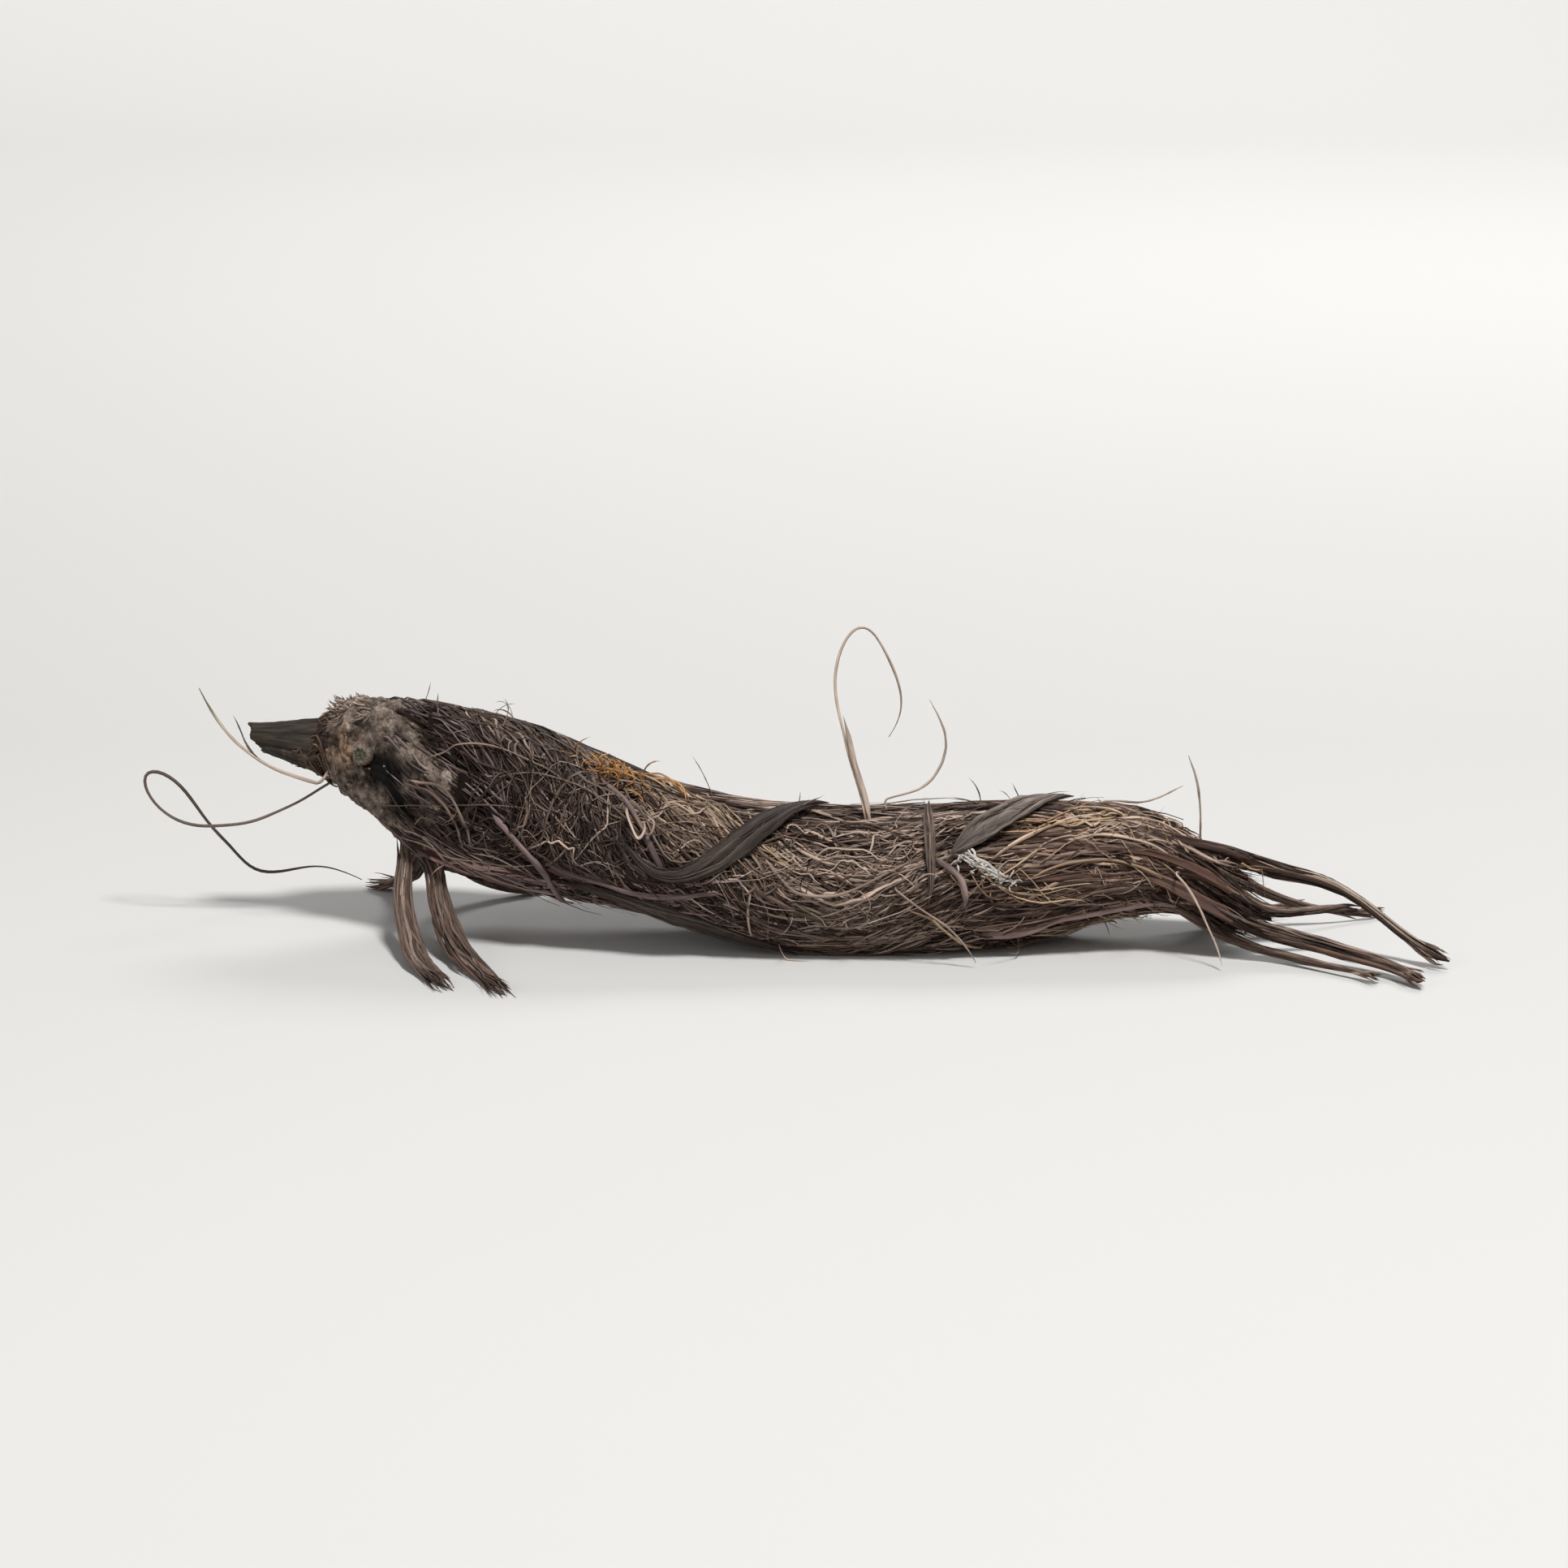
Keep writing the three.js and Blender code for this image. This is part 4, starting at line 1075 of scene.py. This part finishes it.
def gathered_roots(hank, name, line, wide, thick, count, spread, material):
    """Fine roots that come off the hank's skin and run together along a long root's line.

    spread is how far apart they leave the skin, in radians.
    """
    steps = 20
    run = np.linspace(0, 1, steps)
    along = line[:, 0] - CROWN_X
    out = away_from(hank, line)
    turn_of = np.unwrap(np.arctan2(out[:, 2], -out[:, 1]))
    # Each one lies on the hank at first, and past it round the long root.
    first, last = rng.uniform(66, 92, (count, 1)), rng.uniform(98, along[-1] + 0.5, (count, 1))
    station = first + (last - first) * run
    apart = rng.normal(0, spread, (count, 1)) * (1 - smooth(station, 84, 104))
    turn = np.interp(station, along, turn_of) + apart + 0.12 * drift(count, steps, 6)
    lift = rng.uniform(0.1, 0.7, (count, 1)) - 0.7 * (1 - smooth(station - first, 0, 3))
    on_skin, up = hank.at(station, turn, lift)
    angle = rng.uniform(0, 2 * math.pi, (count, 1)) + 0.8 * drift(count, steps, 4)
    part = rng.uniform(0.6, 1.2, (count, 1))
    on_root = between(station, along, line)
    on_root[..., 1] += np.cos(angle) * part * np.interp(station, along, wide)
    on_root[..., 2] += np.sin(angle) * part * np.interp(station, along, 0.5 * wide + 0.5 * thick)
    centre = blend(on_skin, on_root, smooth(station + 1.5 * drift(count, steps, 3), 90, 101)[..., None])
    centre += 0.1 * drift((count, 3), steps, 9).transpose(0, 2, 1)
    size = 0.08 + 0.24 * rng.uniform(0, 1, (count, 1)) ** 2
    size = size * smooth(1 - run, -0.02, 0.3) * (1 + 0.2 * drift(count, steps, 8))
    off_floor(centre, size)
    tones = root_tones(count, steps, (TAN, RED_BROWN, BROWN, DARK_BROWN), rng.uniform(0.3, 1.4, count) ** 2)
    tones = tones * (1 - 0.25 * smooth(station, 92, 104))[..., None]
    finish_piece(round_roots(name, centre, up, size, tones), material)


def side_roots():
    """Each side root is a bundle of flat strands that part from one another towards the tip."""
    material = root_material("side_root_skin", 2.4, (0.5, 0.75), 0.00012)
    steps, inside = 60, 8  # along the CAD root, and from its start on into the hank
    for name in nodes_named("side_root_"):
        centre, facing, half = spine(name, steps)
        if centre[0, 2] < centre[-1, 2]:
            centre, facing, half = centre[::-1], facing[::-1], half[::-1]
        facing = facing * np.where(facing[:, 2:] < 0, -1, 1)
        run = np.linspace(0, 1, steps)
        wide = np.quantile(half, 0.7) * (0.75 + 0.4 * smooth(run, 0, 0.5)) * (1 - 0.4 * smooth(run, 0.55, 1))
        start = centre[0] + unit(centre[0] - centre[6]) * np.linspace(3.2, 0.4, inside)[:, None]
        centre = np.concatenate([start, centre])
        facing, wide = (np.concatenate([np.repeat(part[:1], inside, 0), part]) for part in (facing, wide))
        strands_along(
            f"{name}_bundle", centre, facing, wide, wide * 0.35, 78, (0.09, 0.3),
            (GREY_BROWN, DARK_BROWN, RED_BROWN, BROWN, TAN), material,
            fray=1.1, span=(0.35, 1.0), within=1.0, replaced=[name], steps=18,
        )


def rooted(hank, centre):
    """A root's line from the body outwards, with a start that bends in to the hank's middle."""
    onward, straight, deep, steps = 2.5, 2.2, 4.5, 8  # mm, and the steps of the start
    depths = []
    for end in (centre[0], centre[-1]):
        station = end[0] - CROWN_X + onward
        depths.append(np.array([CROWN_X + station, *hank.middle_at(station)]) - end)
    if np.linalg.norm(depths[1]) < np.linalg.norm(depths[0]):
        centre, depths = centre[::-1], depths[::-1]
    start, way = centre[0], unit(centre[0] - centre[4]) * straight
    target = start + unit(depths[0]) * deep
    share = np.linspace(1, 0.1, steps)[:, None]
    return np.concatenate([start + way * share + (target - start - way) * share**2, centre])


def rootlets(hank):
    """The stray rootlets, kinked where they dried. Two of them have a twin beside them."""
    material = root_material("rootlet_skin", 2.2, (0.45, 0.7), 0.00004)
    facing = np.array([0.3, -1, 0.2])
    slimness = {"rootlet_2": 0.14, "rootlet_3": 0.13, "rootlet_4": 0.11, "rootlet_7": 0.14, "rootlet_8": 0.13}

    def thread(name, line, radius, tones, flat, replaced=()):
        faced = np.broadcast_to(facing, (1, *line.shape))
        piece = round_roots(name, line[None], faced, radius[None], tones, 6, flat, 1)
        finish_piece(piece, material, replaced)

    for name in nodes_named("rootlet_"):
        centre, _, _ = spine(name, 76)
        centre = rooted(hank, centre)
        steps = len(centre)
        radius = slimness.get(name, 0.17) * (widths(steps, 0.03, 0.25, 0.22) * 0.75 + 0.25)
        kinks = max(3, int(lengths(centre[None])[0] / 3))
        centre = centre + 0.2 * np.stack([drift((), steps, kinks) for _ in range(3)], -1)
        off_floor(centre, radius)
        tones = root_tones(1, steps, (GREY_BROWN, BROWN) if name == "rootlet_6" else (TAN, PALE))
        if name == "rootlet_5":
            tones = blend(tones, linear(TIP_GREEN), smooth(np.linspace(0, 1, steps), 0.6, 0.95)[:, None])
            twin = centre[-50:-16] + smooth(np.linspace(0, 1, 34))[:, None] * np.array([1.9, -0.2, 0.3])
            size = 0.13 * widths(34, 0.1, 0.3, 0.2)
            thread("rootlet_5_twin", twin, size, root_tones(1, 34, (GREY_BROWN, TAN)), 0.8)
        thread(f"{name}_skin", centre, radius, tones, 0.9, [name])
        if name == "rootlet_1":
            twin = centre[:30] + np.array([0.35, -0.3, 0.1]) + 0.12 * drift((1, 3), 30, 5)[0].T
            size = 0.26 * widths(30, 0.3, 0.3, 0.2)
            thread("rootlet_1_twin", twin, size, root_tones(1, 30, (PALE, TAN)), 0.7)


def stem_stub():
    """The broken stem: flattened and ribbed, hollow at its slanting torn end."""
    low, high = (np.array(corner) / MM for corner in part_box("stem_stub"))
    sides, steps = 72, 50
    angle = circle(sides)
    run = np.linspace(0, 1, steps)
    outside = np.clip(run / 0.78, 0, 1)  # from the rhizome out to the torn end, and then back down the bore
    inside = np.clip((run - 0.78) / 0.22, 0, 1)
    tear = 0.3 * np.sin(3 * angle + 1) + rng.uniform(-0.12, 0.12, sides) + 0.8 * np.sin(angle)
    tear -= 0.8 * np.exp(-((angle - 2.6) ** 2) / 0.06)
    rib = 0.04 * np.sin(9 * angle) + 0.03 * np.sin(17 * angle + 2) + rng.uniform(-0.012, 0.012, sides)
    x = high[0] - (high[0] - low[0]) * outside + 2.4 * inside
    share = (high[0] - x) / (high[0] - low[0])
    top = high[2] - 0.5 * smooth(share, 0, 1)
    bottom = low[2] + 0.35 * (high[2] - low[2]) * smooth(share, 0, 1)
    bore = 1 - 0.3 * smooth(inside, 0, 0.15) - 0.55 * smooth(inside, 0.4, 1)
    ripple = 1 + rib * (1 - inside)[:, None] + 0.04 * drift(sides, steps, 8).T
    rings = np.empty((steps, sides, 3))
    rings[..., 0] = x[:, None] - tear * smooth(outside, 0.7, 1)[:, None]
    half_wide = (high[1] - low[1]) / 2 * (1 - 0.35 * share) * bore
    rings[..., 1] = (low[1] + high[1]) / 2 + 0.5 * share[:, None] - half_wide[:, None] * ripple * np.cos(angle)
    half_high = (top - bottom) / 2 * bore
    rings[..., 2] = ((top + bottom) / 2)[:, None] + half_high[:, None] * ripple * np.sin(angle)
    # Pale spots on the underside are painted glints, where the torn lower edge catches the light. The rest of the
    # mottle is the stem's own.
    painted_glint_side = smooth(-np.sin(angle), 0, 0.8)
    mottle = 1 + 0.3 * drift(sides, steps, 14).T + 2.6 * smooth(spots(rings, 1.6), 0.15, 0.5) * painted_glint_side
    # Lighter on the ribs, and darkened down the bore as painted shade inside the hollow end.
    shade = (0.9 + 3 * rib) * mottle * (1 - 0.85 * smooth(inside, 0, 0.3))[:, None]
    tones = linear(STEM_OLIVE) * np.clip(shade, 0.1, 3)[..., None]
    grain = grain_of(1, steps, sides, high[0] - low[0]) * [4, 4, 1]
    piece = skin_mesh("stem_stub_skin", rings[None], tones[None], grain, 1 / 2)
    finish_piece(piece, root_material("stem_skin", 2.5, (0.45, 0.7), 0.0001), ["stem_stub"])


def laid_over(hank, fibre):
    """Single roots that lie over the combed ones, where the rootstock shows them."""
    hairs = [
        [(5, -42, 0.3), (10, -11, 0.7), (15, 3, 0.9), (21, 11, 0.9), (28, 15, 0.2)],
        [(6, -50, 0.3), (10, -42, 0.6), (15, -36, 0.9), (21, -30, 0.8), (27, -22, 0.3)],
        [(20, 30, 0.3), (24, 36, 0.9), (29, 34, 1), (34, 22, 0.9), (37, 8, 0.3)],
        [(12, 30, 0.3), (16, 44, 0.8), (21, 46, 0.9), (26, 38, 0.8), (31, 20, 0.3)],
        [(47, 52, 0.3), (50, 66, 0.9), (53, 84, 1.8), (55, 92, 2.2)],
    ]
    pale = [
        [(10, 8, 0.3), (12.5, 11, 1), (14.6, 7, 1.3), (16.2, -9, 1.2), (17, -30, 0.5)],
        [(9.4, 3, 0.3), (12, 6, 0.9), (13.9, 1, 1.2), (15.3, -14, 1.1), (16.2, -33, 0.4)],
        [(47.7, 28, 0.5), (51.6, 6, 0.9), (56.2, 5, 1), (62.3, 20, 0.9), (66, 36, 0.4)],
        [(42, -4, 0.5), (47, -19, 0.9), (52, -26, 1), (59, -28, 0.9), (66, -1, 0.4)],
        [(39, -22, 0.5), (46, -38, 0.9), (54, -48, 1), (61, -46, 0.9), (68, -20, 0.4)],
    ]
    pair = [
        [(34, 36, 0.3), (34.8, 26, 1.2), (36, 18, 1.6), (36.6, 26, 1.7), (35.4, 33, 1.1)],
        [(33.6, 34, 0.3), (33.8, 24, 1.3), (34.8, 15, 1.6), (35.6, 20, 1.4), (35.4, 28, 0.6)],
    ]
    bright = [
        [(72.6, 24, 0.4), (76, 38, 0.9), (80, 52, 1), (84, 64, 0.9), (88, 72, 0.3)],
        [(71.6, 20, 0.4), (75, 33, 0.9), (79, 47, 1), (82, 56, 0.9), (85, 62, 0.3)],
        [(74, 30, 0.4), (77.6, 45, 0.9), (81, 58, 1), (85.4, 70, 0.9), (89, 80, 0.3)],
        [(85, 60, 0.4), (88, 63, 0.9), (91, 72, 1), (94.5, 88, 0.8), (96, 98, 0.3)],
        [(86.4, 20, 0.4), (91.2, 12, 0.9), (95.5, -20, 1), (99, -50, 0.9), (102, -72, 0.4)],
        [(91, 46, 0.4), (93, 39, 1), (95.5, 16, 1.1), (99, -12, 1), (102, -44, 0.5)],
        [(63, -4, 0.4), (66, -12, 1), (69, -30, 1), (71.5, -46, 0.9), (73, -58, 0.6)],
        [(80, 34, 0.4), (85, 36, 1), (90, 28, 1.1), (95, 6, 1), (100, -22, 0.5)],
        [(76, 8, 0.4), (82, 16, 0.9), (88, 10, 1), (94, -14, 0.9), (99, -40, 0.5)],
        [(79, 74, 0.4), (83, 78, 0.9), (88, 70, 1), (93, 56, 0.9), (98, 30, 0.4)],
    ]
    dark = [
        [(66.6, 26, 0.5), (68, 21, 1), (69.4, 11, 1.1), (69.9, 0, 1), (69.6, -9, 0.4)],
        [(19, 4, 0.4), (22, -10, 0.9), (24.6, -27, 1.2), (26.4, -52, 1.3), (27, -66, 1.2)],
        [(34, -26, 0.4), (38, -34, 0.9), (43, -42, 0.9), (48, -50, 0.8), (54, -58, 0.3)],
        [(24, -20, 0.3), (29, -24, 0.9), (35, -22, 1), (41, -12, 0.8), (45, -2, 0.3)],
        [(29, 60, 0.3), (33, 40, 0.8), (35, 24, 0.9), (37, 4, 0.8), (38, -8, 0.3)],
        [(70, -30, 0.3), (78, -36, 0.8), (86, -36, 0.8), (92, -30, 0.7), (96, -30, 0.3)],
    ]
    for name, paths, radius, colours in (
        ("laid_hairs", hairs, (0.07, 0.1), (TAN, BROWN)),
        ("laid_pale_roots", pale, (0.13, 0.19), (TAN, BROWN)),
        ("laid_pair", pair, (0.15, 0.19), (TAN, TAN)),
        ("laid_bright_roots", bright, (0.12, 0.19), (PALE, PALE, GOLD)),
        ("laid_dark_roots", dark, (0.26, 0.36), (GREY_BROWN, MAUVE, MAUVE)),
    ):
        laid_roots(hank, name, paths, radius, colours, fibre)


def amber_tuft(hank, fibre):
    """A tuft of orange fibres, with a few longer amber roots over it."""
    count = 64
    station, turn = rng.normal(31.8, 1.5, count), np.radians(rng.normal(64, 7, count))
    place, out = hank.at(station, turn, 0.2)
    curls(hank, "orange_tuft", place, out, count, (1.5, 4.5), (25, 85), (0.05, 0.11), (ORANGE, GOLD), fibre)
    amber = [
        [(35.6, 80, 0.5), (38, 82, 1.3), (39.6, 72, 1.2), (40, 58, 0.5)],
        [(34, 76, 0.5), (37, 84, 1.5), (39, 78, 1), (40.6, 68, 0.3)],
        [(30, 60, 0.3), (33, 66, 1.1), (36, 72, 1.2), (38.6, 70, 0.4)],
        [(29.4, 56, 0.3), (31.6, 62, 1.3), (34.4, 62, 1.3), (36.8, 66, 0.4)],
        [(31, 74, 0.4), (33.4, 70, 1.4), (34.4, 60, 1.2), (33.2, 52, 0.4)],
    ]
    laid_roots(hank, "amber_roots", amber, (0.07, 0.12), (ORANGE, GOLD), fibre)


def lint_scrap(hank):
    """A scrap of white lint caught on the roots: a few threads, and fluff along them."""
    lint = root_material("lint_fibre", 6, (0.8, 0.95), 0.00002, 0.5, 0.95)
    threads = [
        [(69.4, 31, 0.7), (70.6, 27, 1.1), (72.2, 21, 1.0), (73.6, 15, 1.0), (75, 10, 0.6)],
        [(70.2, 29, 0.9), (71.4, 22, 1.2), (72.8, 16, 1.2), (74.4, 9, 0.8)],
        [(69.7, 44, 1.1), (69.9, 37, 1.1), (70.4, 29, 1.2), (71.6, 22, 0.8)],
        [(68.6, 30, 0.6), (70.4, 25, 1.1), (71.9, 18, 0.8), (73.3, 13, 1.2), (75.4, 6, 0.6)],
        [(69.2, 27, 0.8), (70.8, 21, 1.2), (72.4, 18, 1.1), (73.9, 10, 0.9), (75.8, 9, 0.8)],
        [(69.9, 46, 0.8), (69.8, 38, 1.3), (70.8, 31, 1.1), (70.9, 24, 0.9)],
        [(69.5, 42, 1.0), (70.2, 36, 1.2), (69.6, 29, 0.9)],
    ]
    laid_roots(hank, "lint_threads", threads, (0.09, 0.2), (LINT, LINT), lint, 30)
    count = 60
    share = rng.uniform(0, 1, count)
    turn = np.radians(27 - 20 * share + rng.normal(0, 2, count))
    place, out = hank.at(69 + 6.4 * share, turn, rng.uniform(0.5, 1, count))
    colours = (LINT, LINT, PALE)
    curls(hank, "lint_fluff", place, out, count, (0.6, 2), (30, 120), (0.05, 0.15), colours, lint, steps=10)


def stray_curls(hank, fibre):
    """Hair-thin curled roots all over the rootstock."""
    count = 80
    station, turn = rng.uniform(9, 100, count), rng.uniform(0, 2 * math.pi, count)
    place, out = hank.at(station, turn, 0.1)
    curls(hank, "stray_curls", place, out, count, (2.5, 7), (8, 36), (0.04, 0.09), (TAN, BROWN), fibre)


def bristles(hank, fibre):
    """Short stiff stubs of old leaf bases on top of the crown."""
    for name, count, stations, turns, colours in (
        ("crown_bristles", 84, (1.4, 5.8), (44, 116), (PALE, TAN, DARK_BROWN, BROWN)),
        ("top_bristles", 20, (17, 18.6), (80, 110), (TAN, BROWN, DARK_BROWN)),
    ):
        station, turn = rng.uniform(*stations, count), np.radians(rng.uniform(*turns, count))
        place, out = hank.at(station, turn, -0.2)
        way = unit(0.3 * out + np.array([-1.0, 0, 0]))
        curls(hank, name, place, way, count, (1, 2.3), (2, 18), (0.06, 0.14), colours, fibre, 8)


def stem_collar(fibre):
    """The frayed fibres that join the crown to the stem."""
    low, high = (np.array(corner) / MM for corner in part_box("stem_stub"))
    middle = (low + high) / 2
    steps = 40
    x = np.linspace(middle[0], high[0] + 2.6, steps)
    line = np.stack([x, np.full(steps, middle[1]), np.full(steps, middle[2] - 0.2)], -1)
    swell = 0.92 + 0.75 * smooth(x, high[0] - 2.2, high[0] + 2.4)
    narrow = 0.82 + 0.18 * smooth(x, middle[0], high[0])
    wide, thick = ((high[i] - low[i]) / 2 * swell * narrow for i in (1, 2))
    facing = np.broadcast_to(np.array([0.0, 0, 1]), line.shape)
    strands_along(
        "stem_collar", line, facing, wide, thick, 110, (0.06, 0.17),
        (STEM_OLIVE, DARK_BROWN, LEAF_BROWN, DARK_BROWN), fibre,
        span=(0.35, 0.85), within=0.12, steps=12,
    )


# ---- stage ----


def floor():
    """A pale floor that sweeps up into a backdrop."""
    nodes = Nodes("studio_paper")
    path = nodes.add("ShaderNodeLightPath").outputs
    seen = nodes.most(nodes.most(path["Is Camera Ray"], path["Is Glossy Ray"]), path["Is Transmission Ray"])
    colour = nodes.mix(seen, SHADED_PAPER, PAPER)
    y = nodes.axis(nodes.place(), "Y")
    glow = nodes.mix(seen, (0, 0, 0), PAPER)
    emission = {"Emission Color": glow, "Emission Strength": nodes.ramp(y, 0.1, 1.1, 0, 0.75)}
    material = nodes.finish(colour, 0.9, 0.1, **emission)
    back, bend, half = 0.75, 0.35, 3.0
    arc = [(back + bend * math.sin(t), bend - bend * math.cos(t)) for t in np.linspace(0, math.pi / 2, 24)]
    line = [(-2.0, 0.0), *arc, (back + bend, 2.2)]
    points = [(x, y, z) for y, z in line for x in (-half, half)]
    faces = [(2 * i, 2 * i + 1, 2 * i + 3, 2 * i + 2) for i in range(len(line) - 1)]
    mesh = bpy.data.meshes.new("studio_floor")
    mesh.from_pydata(points, [], faces)
    mesh.polygons.foreach_set("use_smooth", np.ones(len(faces), bool))
    mesh.materials.append(material)
    sheet = bpy.data.objects.new("studio_floor", mesh)
    bpy.context.scene.collection.objects.link(sheet)


def lamp(name, place, target, size, power):
    """A round lamp that faces the target."""
    data = bpy.data.lights.new(name, "AREA")
    data.shape = "DISK"
    data.size = size
    data.energy = power
    light = bpy.data.objects.new(name, data)
    light.location = place
    light.rotation_euler = (Vector(target) - Vector(place)).to_track_quat("-Z", "Y").to_euler()
    bpy.context.scene.collection.objects.link(light)


def studio(centre, width):
    """The lights, and a camera that shows a width of the subject across most of the picture."""
    scene = bpy.context.scene
    scene.view_settings.view_transform = "Standard"
    world = bpy.data.worlds.new("studio")
    world.use_nodes = True
    background = world.node_tree.nodes["Background"].inputs
    background["Color"].default_value = (1, 1, 1, 1)
    background["Strength"].default_value = 0.2
    scene.world = world
    lamp("key", (0.16, -0.3, 0.76), centre, 0.16, 4.9)
    lamp("back", (0.2, 0.6, 0.55), centre, 0.3, 2.0)
    lamp("fill", (-0.6, -0.5, 0.3), centre, 0.5, 1.0)
    data = bpy.data.cameras.new("camera")
    data.lens = data.sensor_width * CAMERA_DISTANCE * CAMERA_FILL / width
    data.clip_start = 0.01
    camera = bpy.data.objects.new("camera", data)
    rise = math.radians(CAMERA_ELEVATION)
    camera.location = centre + Vector((0, -math.cos(rise), math.sin(rise))) * CAMERA_DISTANCE
    camera.rotation_euler = (centre - camera.location).to_track_quat("-Z", "Y").to_euler()
    scene.collection.objects.link(camera)
    scene.camera = camera


def build():
    """The stage, and every piece in the order that its random values are drawn."""
    low, high = (Vector(corner) for corner in cad_bounds)
    studio((low + high) / 2, high.x - low.x)
    floor()
    locks = nodes_named("root_lock_")
    hank = Skin([*locks, "rhizome"], 0.6, HANK_END - 4, 14)
    bed = bed_material()
    for name in locks:
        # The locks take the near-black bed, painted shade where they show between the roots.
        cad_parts[name].material_slots[0].material = bed
    fine_roots(hank)
    rhizome()
    flat_roots(hank)
    laid_straps(hank)
    long_roots(hank)
    side_roots()
    rootlets(hank)
    stem_stub()
    stem_scar()
    fibre = root_material("loose_root_skin", 2.2, (0.45, 0.7), 0.00005)
    laid_over(hank, fibre)
    amber_tuft(hank, fibre)
    lint_scrap(hank)
    stray_curls(hank, fibre)
    bristles(hank, fibre)
    stem_collar(fibre)


build()
